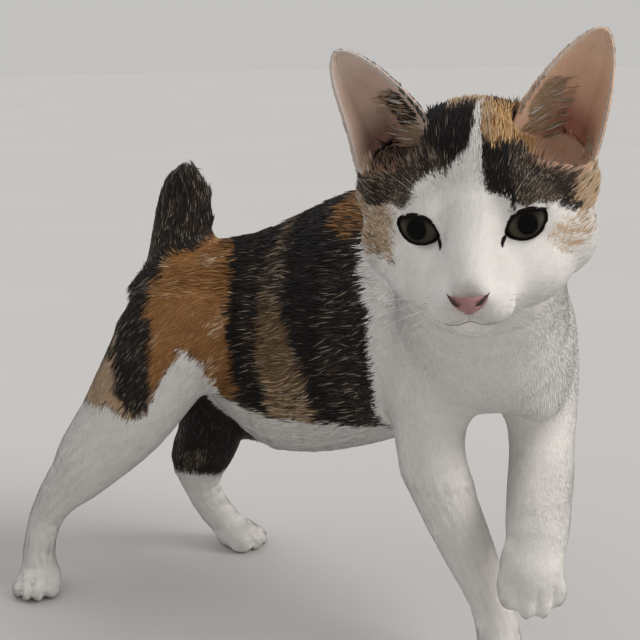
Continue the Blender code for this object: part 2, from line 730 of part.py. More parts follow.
def build_nodes() -> list[bpy.types.Object]:
    """Build the flesh, part it and return every node."""
    body = build_body()
    head = build_head()
    rest = part_off(head, "head_part", NECK_HEAD_CUT, NECK_AXIS, 2.0 * NECK_REACH)
    remove_all([head])
    head = rest
    head.name = "head"
    ears = [build_ear("ear_left", 1.0, head), build_ear("ear_right", -1.0, head)]
    eyes = [build_eye("eye_left", 1.0), build_eye("eye_right", -1.0)]
    neck = part_off(body, "neck", NECK_TORSO_CUT, NECK_AXIS, NECK_REACH)
    top = part_off(neck, "top", NECK_HEAD_CUT - NECK_AXIS.normalized() * GAP, NECK_AXIS, NECK_REACH)
    remove_all([top])
    tail = part_off(body, "tail", TAIL_CUT, TAIL_AXIS, TAIL_REACH)
    outside = split_outside(body)
    zone = trunk("torso zone", ZONE_MARGIN)
    boolean(body, zone, "INTERSECT")
    remove_all([zone])
    body.name = "torso"
    limbs = [limb_near(outside, name, seed) for name, seed in SEEDS]
    remove_all([outside])
    return [head, neck, body, tail] + limbs + ears + eyes


def colour(item: bpy.types.Object, base: tuple[float, float, float], roughness: float) -> None:
    """Give a node its own material."""
    material = bpy.data.materials.new(item.name + " material")
    material.use_nodes = True
    shader = material.node_tree.nodes["Principled BSDF"]
    shader.inputs["Base Color"].default_value = (*base, 1.0)
    shader.inputs["Roughness"].default_value = roughness
    shader.inputs["Metallic"].default_value = 0.0
    item.data.materials.clear()
    item.data.materials.append(material)


def main() -> None:
    """Build the cat in an empty scene."""
    for item in list(bpy.data.objects):
        bpy.data.objects.remove(item)
    nodes = build_nodes()
    cat = bpy.data.collections.new("American bobtail cat")
    bpy.context.scene.collection.children.link(cat)
    for item in nodes:
        bpy.context.scene.collection.objects.unlink(item)
        cat.objects.link(item)
        item.location = -BOX_CENTRE
        item.data.shade_smooth()
        base, roughness = LOOKS[item.name]
        colour(item, base, roughness)


main()
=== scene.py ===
"""Looks of a still, life-size american bobtail cat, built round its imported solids.

One skin stands for the flesh, and a coat of slim closed tufts lies over it. The eyes, lid rims, ears, nose,
mouth line, whiskers, claws and toe pads are pieces of their own. Everything is in metres, in the frame of
the solids: the cat stands on the floor at the origin, faces -Y and has its left side towards +X.
"""

import logging
import math
from dataclasses import dataclass, field, fields
from enum import Enum
from typing import Any, Iterable, Sequence

import bmesh
import bpy
import numpy as np
from mathutils import Euler, Matrix, Vector
from mathutils.bvhtree import BVHTree

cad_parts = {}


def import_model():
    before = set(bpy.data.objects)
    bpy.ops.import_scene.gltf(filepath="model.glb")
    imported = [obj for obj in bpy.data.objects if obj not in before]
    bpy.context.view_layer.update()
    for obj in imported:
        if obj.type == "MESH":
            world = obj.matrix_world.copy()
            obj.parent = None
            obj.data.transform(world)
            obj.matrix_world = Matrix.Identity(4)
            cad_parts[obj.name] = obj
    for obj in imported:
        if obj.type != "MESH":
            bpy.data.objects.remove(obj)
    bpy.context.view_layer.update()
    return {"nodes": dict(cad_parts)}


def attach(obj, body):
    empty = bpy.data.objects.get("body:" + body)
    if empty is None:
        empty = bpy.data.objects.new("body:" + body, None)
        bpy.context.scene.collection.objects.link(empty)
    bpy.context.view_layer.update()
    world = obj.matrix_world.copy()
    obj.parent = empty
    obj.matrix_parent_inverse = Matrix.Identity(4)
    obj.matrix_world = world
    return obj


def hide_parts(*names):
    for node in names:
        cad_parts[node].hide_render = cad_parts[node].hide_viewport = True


LOG = logging.getLogger("bobtail")
BAKE_MAP = "OFBake"
TINT = "Tint"
SEED = 20
TOES_WIDE = 3.2
TUFT_BELT = 0.36
ROOT_DEPTH = 0.0003
LOWEST_HAIR = 0.0002
BORDER_ROUNDS = 30
LIE_ROUNDS = 20

Array = np.ndarray
Colour = tuple[float, float, float]
Place = tuple[float, float, float]
Profile = tuple[tuple[float, float], ...]


class Node(Enum):
    """The solids of flesh, in the order in which the skin numbers them."""

    HEAD = "head"
    NECK = "neck"
    TORSO = "torso"
    TAIL = "tail"
    LEG_FRONT_LEFT = "leg_front_left"
    LEG_FRONT_RIGHT = "leg_front_right"
    LEG_HIND_LEFT = "leg_hind_left"
    LEG_HIND_RIGHT = "leg_hind_right"


NUMBER = {node: index for index, node in enumerate(Node)}


class Side(Enum):
    """A side of the cat, with the sign of its X direction in the head's own frame."""

    LEFT = 1.0
    RIGHT = -1.0

    @property
    def word(self) -> str:
        """The side's name as piece names have it."""
        return self.name.lower()


class Pigment(Enum):
    """The kinds of hair in the coat: root colour, tip colour, ticked tip and share of ticked hairs."""

    WHITE = ((0.80, 0.775, 0.745), (0.84, 0.82, 0.795), (0.87, 0.86, 0.84), 0.20)
    BLACK = ((0.009, 0.007, 0.006), (0.014, 0.011, 0.010), (0.15, 0.135, 0.13), 0.055)
    ORANGE = ((0.19, 0.082, 0.024), (0.33, 0.155, 0.052), (0.52, 0.32, 0.15), 0.13)
    TABBY = ((0.026, 0.019, 0.014), (0.070, 0.048, 0.033), (0.40, 0.33, 0.25), 0.24)
    TAN = ((0.42, 0.27, 0.155), (0.58, 0.42, 0.27), (0.74, 0.62, 0.48), 0.22)
    BUFF = ((0.46, 0.26, 0.10), (0.62, 0.38, 0.17), (0.78, 0.60, 0.38), 0.22)
    BROWN = ((0.105, 0.060, 0.028), (0.215, 0.135, 0.072), (0.46, 0.35, 0.23), 0.20)


ROOT, TIP, TICKED, TICKED_SHARE = range(4)


def pigments(column: int) -> Array:
    """Return one of the values of all the pigments, one row each."""
    return np.array([kind.value[column] for kind in Pigment])


def ramp(value: Array, edge: float | Array, soft: float) -> Array:
    """Rise smoothly from 0 to 1 over a width of `soft` centred on an edge."""
    t = np.clip((value - edge) / soft + 0.5, 0.0, 1.0)
    return t * t * (3.0 - 2.0 * t)


def bell(value: Array, middle: float, width: float) -> Array:
    """Return a soft bump that is 1 in the middle and fades to both sides."""
    return np.exp(-((value - middle) / width) ** 2)


def spot(across: Array, rise: Array, centre: tuple[float, float], radii: tuple[float, float]) -> Array:
    """Return a soft elliptical mask.

    Args:
        across: First coordinate of each point.
        rise: Second coordinate of each point.
        centre: The ellipse's middle.
        radii: The ellipse's half axes.

    Returns:
        One value from 0 to 1 for each point.
    """
    reach = np.hypot((across - centre[0]) / radii[0], (rise - centre[1]) / radii[1])
    return 1.0 - ramp(reach, 1.0, 0.5)


def follow(value: Array, profile: Profile) -> Array:
    """Read a profile of (place, height) pairs at each value."""
    return np.interp(value, [pair[0] for pair in profile], [pair[1] for pair in profile])


def value_noise(points: Array, size: float, seed: int) -> Array:
    """Return smooth noise from -1 to 1 at points in space.

    Args:
        points: Places, one row each.
        size: Width of one blob of the noise.
        seed: Picks one of many such fields.

    Returns:
        One value for each point.
    """
    scaled = points / size
    cell = np.floor(scaled).astype(np.int64)
    part = scaled - cell
    part = part * part * (3.0 - 2.0 * part)
    total = np.zeros(len(points))
    for corner in range(8):
        offset = np.array([(corner >> axis) & 1 for axis in range(3)])
        place = cell + offset
        key = (place[:, 0] * 73856093) ^ (place[:, 1] * 19349663) ^ (place[:, 2] * 83492791) ^ (seed * 7919)
        key = ((key ^ (key >> 13)) * 1274126177) & 0x7FFFFFFF
        value = ((key ^ (key >> 16)) & 0xFFFF) / 32767.5 - 1.0
        total += value * np.prod(np.where(offset == 1, part, 1.0 - part), axis=1)
    return total


def unit(vectors: Array) -> Array:
    """Scale each row to length one."""
    return vectors / np.maximum(np.linalg.norm(vectors, axis=1, keepdims=True), 1e-9)


@dataclass(frozen=True)
class Spine:
    """The bent middle line of the trunk: an arc over the floor from the withers to the tail's root.

    Attributes:
        length: Length of the arc.
        chest_heading: Heading of the chest in degrees from -Y.
        pelvis_heading: Heading of the pelvis in degrees from -Y.
        withers: Place of the withers over the floor.
    """

    length: float = 0.230
    chest_heading: float = -18.5
    pelvis_heading: float = 65.5
    withers: tuple[float, float] = (0.0662, -0.0605)

    @property
    def radius(self) -> float:
        """Radius of the bend."""
        return self.length / math.radians(self.pelvis_heading - self.chest_heading)

    def polar(self, points: Array) -> tuple[Array, Array]:
        """Return each point's angle about the bend's centre, and its distance from it."""
        start = math.radians(self.chest_heading)
        x = points[:, 0] - self.withers[0] + self.radius * math.cos(start)
        y = points[:, 1] - self.withers[1] + self.radius * math.sin(start)
        return np.arctan2(y, x), np.hypot(x, y)

    def places(self, points: Array) -> tuple[Array, Array]:
        """Return each point's distance along the spine behind the withers, and its distance to the left."""
        angle, distance = self.polar(points)
        return (angle - math.radians(self.chest_heading)) * self.radius, distance - self.radius

    def rearward(self, points: Array) -> Array:
        """Return the direction towards the tail at each point."""
        angle, _ = self.polar(points)
        return np.stack((-np.sin(angle), np.cos(angle), np.zeros(len(points))), axis=1)


@dataclass(frozen=True)
class HeadFrame:
    """The head's own frame: its origin is midway between the eyes and it faces -Y.

    Attributes:
        place: The origin.
        turn: Turns about X, Y and Z in degrees.
    """

    place: Place = (-0.0173, -0.1512, 0.2560)
    turn: Place = (7.7, -4.1, -42.3)

    @property
    def matrix(self) -> Matrix:
        """The frame as a matrix."""
        turn = Euler([math.radians(angle) for angle in self.turn], "XYZ").to_matrix().to_4x4()
        return Matrix.Translation(self.place) @ turn

    def inward(self, points: Array) -> Array:
        """Turn places of the scene into places of the head's frame."""
        return (points - np.array(self.place)) @ np.array(self.matrix.to_3x3())

    def outward(self, vectors: Array) -> Array:
        """Turn directions of the head's frame into directions of the scene."""
        return vectors @ np.array(self.matrix.to_3x3()).T

    def placed(self, points: Array) -> Array:
        """Turn places of the head's frame into places of the scene."""
        return self.outward(points) + np.array(self.place)


@dataclass(frozen=True)
class Paw:
    """A paw's own frame: its sole's middle, and the way its toes point.

    Attributes:
        node: The leg that it ends.
        sole: The middle of the sole.
        heading: The toes' heading in degrees from -Y.
        droop: How far the toes point below the level, in degrees.
        width: The width over the toes.
    """

    node: Node
    sole: Place
    heading: float
    droop: float
    width: float

    @property
    def matrix(self) -> Matrix:
        """The frame: X is the cat's left, -Y the way of the toes and Z away from the sole."""
        turn = Matrix.Rotation(math.radians(self.heading), 4, "Z")
        return Matrix.Translation(self.sole) @ turn @ Matrix.Rotation(math.radians(self.droop), 4, "X")

    def inward(self, points: Array) -> Array:
        """Turn places of the scene into places of the paw's frame."""
        return (points - np.array(self.sole)) @ np.array(self.matrix.to_3x3())

    def reach(self, points: Array) -> Array:
        """Return each point's distance from the sole's middle."""
        return np.linalg.norm(points - np.array(self.sole), axis=1)

    @property
    def step(self) -> float:
        """The unit in which the places of toes and pads are given."""
        return self.width / TOES_WIDE


SPINE = Spine()
HEAD = HeadFrame()
PAWS = (
    Paw(Node.LEG_FRONT_RIGHT, (0.0592, -0.0785, -0.001), -22.0, 0.0, 0.038),
    Paw(Node.LEG_FRONT_LEFT, (0.0622, -0.0935, 0.0655), -24.0, 58.0, 0.038),
    Paw(Node.LEG_HIND_RIGHT, (-0.1118, 0.1485, -0.001), -34.0, 0.0, 0.032),
    Paw(Node.LEG_HIND_LEFT, (0.0212, 0.1445, -0.001), 36.0, 0.0, 0.032),
)
RAISED = PAWS[1]

EYE_RADIUS = 0.0120
EYE_CENTRE = (0.0197, 0.0102, -0.0012)
EYE_OUTWARD = 6.0
SOCKET_RADIUS = EYE_RADIUS + 0.004
LID_WIDTH, LID_UP, LID_DOWN, LID_SLANT = 0.0188, 0.0056, 0.0060, 27.0
LID_CENTRE = (0.0203, -0.0013)

NOSE_TIP = (0.0, -0.0325, -0.0205)
NOSE_TOP = -0.0188
NOSE_HEIGHT = 0.0068
NOSE_HALF_WIDTH = 0.0078
NOSE_TAPER = 0.62

EAR_BASE = (0.0330, 0.0265, 0.0275)
EAR_TIP = (0.0520, 0.0310, 0.0630)
EAR_HALF_BASE = (0.0145, -0.0030, -0.0115)
EAR_CUP_WAY = (0.35, 0.94, 0.0)
HOLLOW_RISE = 0.0040
HOLLOW_FORWARD = 0.0045
HOLLOW_RADII = (0.0190, 0.0168, 0.0175)
HOLLOW_SOFT = 0.12
BARE_EDGE_LEFT = 1.13
BARE_EDGE_RIGHT = 1.00


def ear_hollow(local: Array, edge: Array | float) -> Array:
    """Return 1 in the hollows in front of the ears' cups and 0 beyond them.

    Args:
        local: Places in the head's frame.
        edge: Where the hollow ends, as a share of its radii.

    Returns:
        One value for each place.
    """
    mirrored = np.stack((np.abs(local[:, 0]), local[:, 1], local[:, 2]), axis=1)
    across = np.array(Vector(EAR_HALF_BASE).normalized())
    rise = (Vector(EAR_TIP) - Vector(EAR_BASE)).normalized()
    inward = Vector(EAR_CUP_WAY).normalized()
    centre = np.array(Vector(EAR_BASE) + rise * HOLLOW_RISE - inward * HOLLOW_FORWARD)
    third = np.cross(across, np.array(rise))
    third /= np.linalg.norm(third)
    axes = np.stack((across, np.cross(third, across), third), axis=1)
    reach = np.linalg.norm((mirrored - centre) @ axes / np.array(HOLLOW_RADII), axis=1)
    return 1.0 - ramp(reach, edge + HOLLOW_SOFT / 2.0, HOLLOW_SOFT)


def bare_in_ears(local: Array) -> Array:
    """Return 1 where the skin in front of the ears' cups is bare, which reaches lower on the left."""
    edge = np.where(local[:, 0] > 0.0, BARE_EDGE_LEFT, BARE_EDGE_RIGHT)
    return ear_hollow(local, edge) * ramp(np.abs(local[:, 0]), 0.0225, 0.005)


def eye_centre(side: Side) -> Vector:
    """Return the middle of an eye in the head's frame."""
    return Vector((EYE_CENTRE[0] * side.value, EYE_CENTRE[1], EYE_CENTRE[2]))


def from_eye(local: Array, side: Side) -> Array:
    """Return how far places in the head's frame are from the middle of an eye."""
    return np.linalg.norm(local - np.array(eye_centre(side)), axis=1)


def rim_outline(count: int) -> list[tuple[float, float]]:
    """Return the almond between the lids of the left eye, as (x, z) pairs in the head's frame."""
    slant = math.radians(LID_SLANT)
    points = []
    for index in range(count):
        angle = 2.0 * math.pi * index / count
        across = math.cos(angle)
        height = LID_UP if math.sin(angle) > 0.0 else LID_DOWN
        rise = math.sin(angle) * height * (0.35 + 0.65 * (1.0 - abs(across) ** 3))
        across *= LID_WIDTH / 2.0
        x = LID_CENTRE[0] + across * math.cos(slant) - rise * math.sin(slant)
        z = LID_CENTRE[1] + across * math.sin(slant) + rise * math.cos(slant)
        points.append((x, z))
    return points


def cover(shares: Array, layers: Iterable[tuple[Pigment, Array]]) -> None:
    """Lay pigments over one another in turn, each where its mask says."""
    for pigment, mask in layers:
        shares *= (1.0 - mask)[:, None]
        shares[:, list(Pigment).index(pigment)] += mask


@dataclass(frozen=True)
class TrunkEdge:
    """One edge between two colours of the flank, as distances along the spine.

    Attributes:
        right: (height, distance) pairs on the right side.
        left: The distance on the left side.
    """

    right: Profile
    left: float

    def at(self, height: Array, leftness: Array) -> Array:
        """Return the edge's distance along the spine at each height, blended over the back."""
        return follow(height, self.right) * (1.0 - leftness) + self.left * leftness


@dataclass(frozen=True)
class Markings:
    """The calico pattern: how much of each pigment the coat has at a place.

    Attributes:
        front: Where the white of the chest ends.
        brown: Where the brown stripe starts.
        black: Where the black stripe behind it starts.
        rump: Where the orange rump starts.
        band: Where the dark band down the buttock starts.
        rear: Where that band ends.
        belly_right: (distance, height) pairs of the edge over the white belly and thigh.
        belly_left: The same on the left.
        ragged: How far hairs of both colours mix at an edge.
        soft: Width over which one colour of the flank turns into the next.
    """

    front: TrunkEdge = TrunkEdge(((0.117, 0.080), (0.132, 0.075), (0.146, 0.067), (0.182, 0.066),
                                  (0.192, 0.075), (0.212, 0.083), (0.224, 0.090), (0.236, 0.088)), 0.055)
    brown: TrunkEdge = TrunkEdge(((0.112, 0.124), (0.133, 0.127), (0.152, 0.135), (0.175, 0.147),
                                  (0.197, 0.151), (0.218, 0.153)), 0.118)
    black: TrunkEdge = TrunkEdge(((0.120, 0.165), (0.148, 0.172), (0.194, 0.171), (0.216, 0.163)), 0.182)
    rump: TrunkEdge = TrunkEdge(((0.132, 0.192), (0.145, 0.195), (0.208, 0.197)), 0.205)
    band: TrunkEdge = TrunkEdge(((0.133, 0.258), (0.167, 0.256), (0.183, 0.251), (0.195, 0.243),
                                 (0.210, 0.232)), 0.222)
    rear: TrunkEdge = TrunkEdge(((0.119, 0.276), (0.132, 0.286), (0.154, 0.281), (0.172, 0.273),
                                 (0.184, 0.263), (0.195, 0.262), (0.205, 0.300)), 0.400)
    belly_right: Profile = ((0.06, 0.112), (0.165, 0.113), (0.192, 0.118), (0.201, 0.120), (0.210, 0.137),
                            (0.219, 0.149), (0.229, 0.157), (0.238, 0.150), (0.251, 0.135), (0.258, 0.127),
                            (0.264, 0.120), (0.276, 0.118), (0.290, 0.124))
    belly_left: Profile = ((0.06, 0.116), (0.18, 0.114), (0.205, 0.100), (0.225, 0.080), (0.240, 0.060))
    ragged: float = 0.0022
    soft: float = 0.005

    def shares(self, points: Array, normals: Array, nodes: Array) -> Array:
        """Return the share of each pigment.

        Args:
            points: Places on the skin.
            normals: The skin's normals there.
            nodes: The number of the solid that each place belongs to.

        Returns:
            One row for each point and one column for each pigment; a row's sum is 1.
        """
        drift = np.stack([value_noise(points, 0.006, SEED + axis) for axis in range(3)], axis=1)
        moved = points + drift * self.ragged
        shares = np.zeros((len(points), len(Pigment)))
        shares[:, 0] = 1.0
        self._paint_trunk(shares, moved, nodes)
        self._paint_nape(shares, moved, normals, nodes)
        on_head = nodes == NUMBER[Node.HEAD]
        shares[on_head] = 0.0
        shares[on_head, 0] = 1.0
        self._paint_head(shares, HEAD.inward(moved), on_head)
        self._paint_head_back(shares, HEAD.inward(moved), on_head)
        self._paint_tail(shares, moved, nodes == NUMBER[Node.TAIL])
        return shares

    def _paint_trunk(self, shares: Array, points: Array, nodes: Array) -> None:
        """Paint the stripes of the flanks, the rump and the left thigh."""
        along, lateral = SPINE.places(points)
        height = points[:, 2]
        leftness = ramp(lateral, 0.004, 0.016)
        leftness[nodes == NUMBER[Node.LEG_HIND_RIGHT]] = 0.0
        leftness[nodes == NUMBER[Node.LEG_HIND_LEFT]] = 1.0
        belly_right, belly_left = (follow(along, edge) for edge in (self.belly_right, self.belly_left))
        belly = belly_right * (1.0 - leftness) + belly_left * leftness
        front = ramp(along, self.front.at(height, leftness), 0.007) * ramp(height, belly, self.soft)
        for node in (Node.LEG_FRONT_LEFT, Node.LEG_FRONT_RIGHT, Node.NECK):
            front[nodes == NUMBER[node]] = 0.0
        edges = (self.brown, self.black, self.rump, self.band, self.rear)
        brown, black, rump, band, rear = (ramp(along, edge.at(height, leftness), self.soft) for edge in edges)
        silver = spot(along, height, (0.093, 0.165), (0.018, 0.060)) * (1.0 - leftness)
        line = spot(along, height, (0.181, 0.17), (0.0028, 0.05))
        patchy = 0.5 + 0.5 * value_noise(points, 0.011, SEED + 7)
        low, lowest = (1.0 - ramp(height, edge, 0.03) for edge in (0.178, 0.135))
        left_leg = (nodes == NUMBER[Node.LEG_HIND_LEFT]).astype(float)
        thigh = left_leg * ramp(height, 0.052 + 0.004 * patchy, 0.005)
        cover(shares, (
            (Pigment.BLACK, front),
            (Pigment.TABBY, front * silver * 0.45),
            (Pigment.TABBY, front * brown),
            (Pigment.BROWN, front * brown * np.clip(low * 0.85 + patchy * 0.45 - 0.1, 0.0, 1.0)),
            (Pigment.TAN, front * brown * lowest * 0.45),
            (Pigment.BLACK, front * black),
            (Pigment.TABBY, front * line * 0.6),
            (Pigment.ORANGE, front * rump),
            (Pigment.TAN, front * rump * ramp(patchy, 0.72, 0.3) * 0.45),
            (Pigment.BLACK, front * band),
            (Pigment.TABBY, front * band * patchy * 0.4),
            (Pigment.TAN, front * rear),
            (Pigment.WHITE, left_leg),
            (Pigment.BLACK, thigh),
            (Pigment.TABBY, thigh * ramp(patchy, 0.70, 0.2) * 0.6),
        ))

    @staticmethod
    def _paint_nape(shares: Array, points: Array, normals: Array, nodes: Array) -> None:
        """Paint the brown and orange back of the neck down to the withers."""
        along, _ = SPINE.places(points)
        upper = np.isin(nodes, (NUMBER[Node.NECK], NUMBER[Node.TORSO]))
        mask = ramp(normals[:, 2], 0.40, 0.30) * ramp(-along, -0.118, 0.012) * upper
        mask *= ramp(HEAD.inward(points)[:, 1], 0.020, 0.010) * ramp(points[:, 2], 0.222, 0.010)
        patchy = value_noise(points, 0.016, SEED + 9)
        withers = spot(along, points[:, 2], (0.103, 0.231), (0.016, 0.012))
        cover(shares, (
            (Pigment.TABBY, mask),
            (Pigment.BLACK, mask * ramp(patchy, 0.25, 0.3) * 0.8),
            (Pigment.ORANGE, np.maximum(withers * upper, mask * ramp(-patchy, 0.2, 0.3)) * 0.9),
        ))

    @staticmethod
    def _paint_head(shares: Array, local: Array, on_head: Array) -> None:
        """Paint the crown, brows, temples and cheeks on both sides of the white blaze."""
        x, y, z = local.T
        blaze_left = follow(z, ((0.005, -0.050), (0.007, -0.027), (0.015, -0.019), (0.022, -0.007),
                                (0.029, -0.001), (0.036, 0.002), (0.042, 0.002)))
        blaze_right = follow(z, ((-0.002, 0.050), (0.002, 0.036), (0.0055, 0.025), (0.0095, 0.0150),
                                 (0.0125, 0.0072), (0.020, 0.0058), (0.030, 0.0052), (0.040, 0.0048)))
        left = ramp(-x, -blaze_left, 0.0018) * ramp(z, 0.0075, 0.003) * on_head
        right = ramp(x, blaze_right, 0.0015) * on_head
        crown = right * ramp(z, 0.0285, 0.003)
        grain = value_noise(local, 0.004, SEED + 11)
        stripes = 0.5 + 0.5 * np.sin((z + 0.35 * (np.abs(x) - 0.03)) * 2.0 * math.pi / 0.0042)
        wander = 0.0022 * grain
        beside_eye = ramp(-x + wander, 0.0308, 0.006) * ramp(z + wander, -0.0125, 0.006)
        beside_eye *= ramp(-z, -0.0080, 0.003) * ramp(-y, -0.022, 0.008)
        cheek = spot(x, z, (0.0375, -0.0075), (0.0085, 0.0060)) * ramp(-y, -0.022, 0.008)
        cover(shares, (
            (Pigment.TABBY, left),
            (Pigment.BLACK, left * ramp(z, 0.0225 + 0.75 * (-x - 0.005), 0.002)),
            (Pigment.BLACK, left * ramp(grain, 0.3, 0.5) * 0.6),
            (Pigment.TABBY, right),
            (Pigment.BLACK, right * ramp(grain, 0.35, 0.5) * 0.5),
            (Pigment.BLACK, right * (1.0 - ramp(x, 0.0150, 0.003))),
            (Pigment.BUFF, crown),
            (Pigment.ORANGE, crown * ramp(grain, 0.25, 0.4) * 0.5),
            (Pigment.TAN, right * ramp(z, 0.0285, 0.002) * ramp(-x, -0.009, 0.004) * 0.6),
            (Pigment.BLACK, spot(x, z, (0.0155, 0.0090), (0.0011, 0.0048)) * on_head),
            (Pigment.TAN, beside_eye * on_head * 0.9),
            (Pigment.TABBY, beside_eye * on_head * stripes * 0.35),
            (Pigment.BLACK, spot(x, z, (-0.0365, 0.0088), (0.0060, 0.0016)) * on_head * 0.85),
            (Pigment.TAN, cheek * on_head * (0.35 + 0.5 * stripes)),
            (Pigment.TAN, spot(x, z, (0.0440, 0.0080), (0.0055, 0.0110)) * on_head * 0.9),
            (Pigment.BLACK, spot(x, z, (0.0368, 0.0024), (0.0052, 0.0017)) * on_head * 0.95),
        ))

    @staticmethod
    def _paint_head_back(shares: Array, local: Array, on_head: Array) -> None:
        """Paint the crown's top and the back of the head, black on its right and orange on its left."""
        x, y, z = local.T
        top = ramp(y, 0.0245, 0.003) * ramp(z, 0.006, 0.010) * on_head
        middle = ramp(x, -0.009, 0.003) * ramp(-x, -0.006, 0.003)
        cover(shares, (
            (Pigment.BLACK, top * ramp(-x, 0.009, 0.003)),
            (Pigment.TAN, top * middle),
            (Pigment.BUFF, top * middle * ramp(y, 0.032, 0.006)),
            (Pigment.BUFF, top * ramp(x, 0.006, 0.003)),
            (Pigment.BLACK, spot(x, y, (0.011, 0.031), (0.0055, 0.0040)) * top),
            (Pigment.TABBY, top * ramp(y, 0.045, 0.010) * 0.7),
        ))

    @staticmethod
    def _paint_tail(shares: Array, points: Array, on_tail: Array) -> None:
        """Paint the dark tail, greyer in patches."""
        patchy = 0.5 + 0.5 * value_noise(points, 0.009, SEED + 13)
        cover(shares, ((Pigment.BLACK, on_tail.astype(float)), (Pigment.TABBY, on_tail * patchy * 0.75)))


class Wire:
    """A socket of a material, on which expressions of numbers add their Math nodes."""

    def __init__(self, tree: bpy.types.NodeTree, socket: bpy.types.NodeSocket) -> None:
        """Keep the tree and the socket that gives the value."""
        self.tree = tree
        self.socket = socket

    def _math(self, operation: str, first: "Wire | float", second: "Wire | float") -> "Wire":
        """Add one Math node on two values."""
        node = self.tree.nodes.new("ShaderNodeMath")
        node.operation = operation
        for socket, value in zip(node.inputs, (first, second)):
            if isinstance(value, Wire):
                self.tree.links.new(value.socket, socket)
            else:
                socket.default_value = value
        return Wire(self.tree, node.outputs[0])

    def __add__(self, other: "Wire | float") -> "Wire":
        """Return the sum."""
        return self._math("ADD", self, other)

    def __radd__(self, other: float) -> "Wire":
        """Return the sum."""
        return self._math("ADD", other, self)

    def __sub__(self, other: "Wire | float") -> "Wire":
        """Return the difference."""
        return self._math("SUBTRACT", self, other)

    def __rsub__(self, other: float) -> "Wire":
        """Return the difference from a number."""
        return self._math("SUBTRACT", other, self)

    def __mul__(self, other: "Wire | float") -> "Wire":
        """Return the product."""
        return self._math("MULTIPLY", self, other)

    def __rmul__(self, other: float) -> "Wire":
        """Return the product."""
        return self._math("MULTIPLY", other, self)


class Finish:
    """A material under construction, with one Principled shader."""

    def __init__(self, name: str, **constants: float) -> None:
        """Make the material and set the shader's own sockets, whose names are given with underscores."""
        self.material = bpy.data.materials.new(name)
        self.material.use_nodes = True
        self.tree = self.material.node_tree
        self.shader = self.tree.nodes["Principled BSDF"]
        for key, value in constants.items():
            self.shader.inputs[key.replace("_", " ").title().replace("Ior", "IOR")].default_value = value

    def node(self, kind: str, settings: dict[str, Any], sockets: dict[str | int, Any],
             output: str | int = 0) -> Wire:
        """Add a node.

        Args:
            kind: The node's type.
            settings: Properties that are set first; "stops" are a ramp's (place, colour) pairs.
            sockets: Values or wires of its inputs by name or number.
            output: The name or number of the output that is used.

        Returns:
            That output.
        """
        node = self.tree.nodes.new(kind)
        for key, value in settings.items():
            if key == "stops":
                self._set_stops(node.color_ramp, value)
            else:
                setattr(node, key, value)
        for key, value in sockets.items():
            if isinstance(value, Wire):
                self.tree.links.new(value.socket, node.inputs[key])
            else:
                node.inputs[key].default_value = value
        return Wire(self.tree, node.outputs[output])

    @staticmethod
    def _set_stops(scale: bpy.types.ColorRamp, stops: Iterable[tuple[float, Colour]]) -> None:
        """Fill a colour ramp."""
        for index, (place, colour) in enumerate(stops):
            if index < 2:
                stop = scale.elements[index]
                stop.position = place
            else:
                stop = scale.elements.new(place)
            stop.color = (*colour, 1.0)

    def noise(self, scale: float, detail: float = 3.0, stretch: Place = (1.0, 1.0, 1.0)) -> Wire:
        """Return noise in the object's coordinates, from 0 to 1."""
        place = self.node("ShaderNodeTexCoord", {}, {}, "Object")
        spread = self.node("ShaderNodeMapping", {}, {"Vector": place, "Scale": stretch})
        return self.node("ShaderNodeTexNoise", {}, {"Vector": spread, "Scale": scale, "Detail": detail})

    def mix(self, factor: Wire | float, first: Wire | Colour, second: Wire | Colour,
            blend: str = "MIX") -> Wire:
        """Mix two colours."""
        sockets = {0: factor}
        for key, value in ((6, first), (7, second)):
            sockets[key] = value if isinstance(value, Wire) else (*value, 1.0)
        return self.node("ShaderNodeMix", {"data_type": "RGBA", "blend_type": blend}, sockets, 2)

    def set(self, socket: str, wire: Wire) -> None:
        """Link a wire to one input of the shader."""
        self.tree.links.new(wire.socket, self.shader.inputs[socket])

    def bump(self, height: Wire, distance: float) -> None:
        """Raise the surface by a height map."""
        self.set("Normal", self.node("ShaderNodeBump", {}, {"Height": height, "Distance": distance}))


@dataclass(frozen=True)
class HairFinish:
    """The finish of tufts and of the skin under them, coloured by their own attribute.

    Attributes:
        name: The material's name.
        roughness: Mean roughness.
        depth: Height of the bump.
    """

    name: str
    roughness: float
    depth: float

    def material(self) -> bpy.types.Material:
        """Build the material."""
        finish = Finish(self.name, specular_ior_level=0.18, sheen_weight=0.03, sheen_roughness=0.6)
        tint = finish.node("ShaderNodeAttribute", {"attribute_name": TINT}, {}, "Color")
        broad = finish.noise(90.0, 4.0)
        fine = finish.noise(900.0, 2.0, (1.0, 1.0, 0.4))
        darker = finish.mix(1.0, tint, (0.80, 0.78, 0.76), "MULTIPLY")
        finish.set("Base Color", finish.mix(broad * 0.7, tint, darker))
        finish.set("Roughness", self.roughness + (broad - 0.5) * 0.2)
        finish.bump(fine, self.depth)
        return finish.material


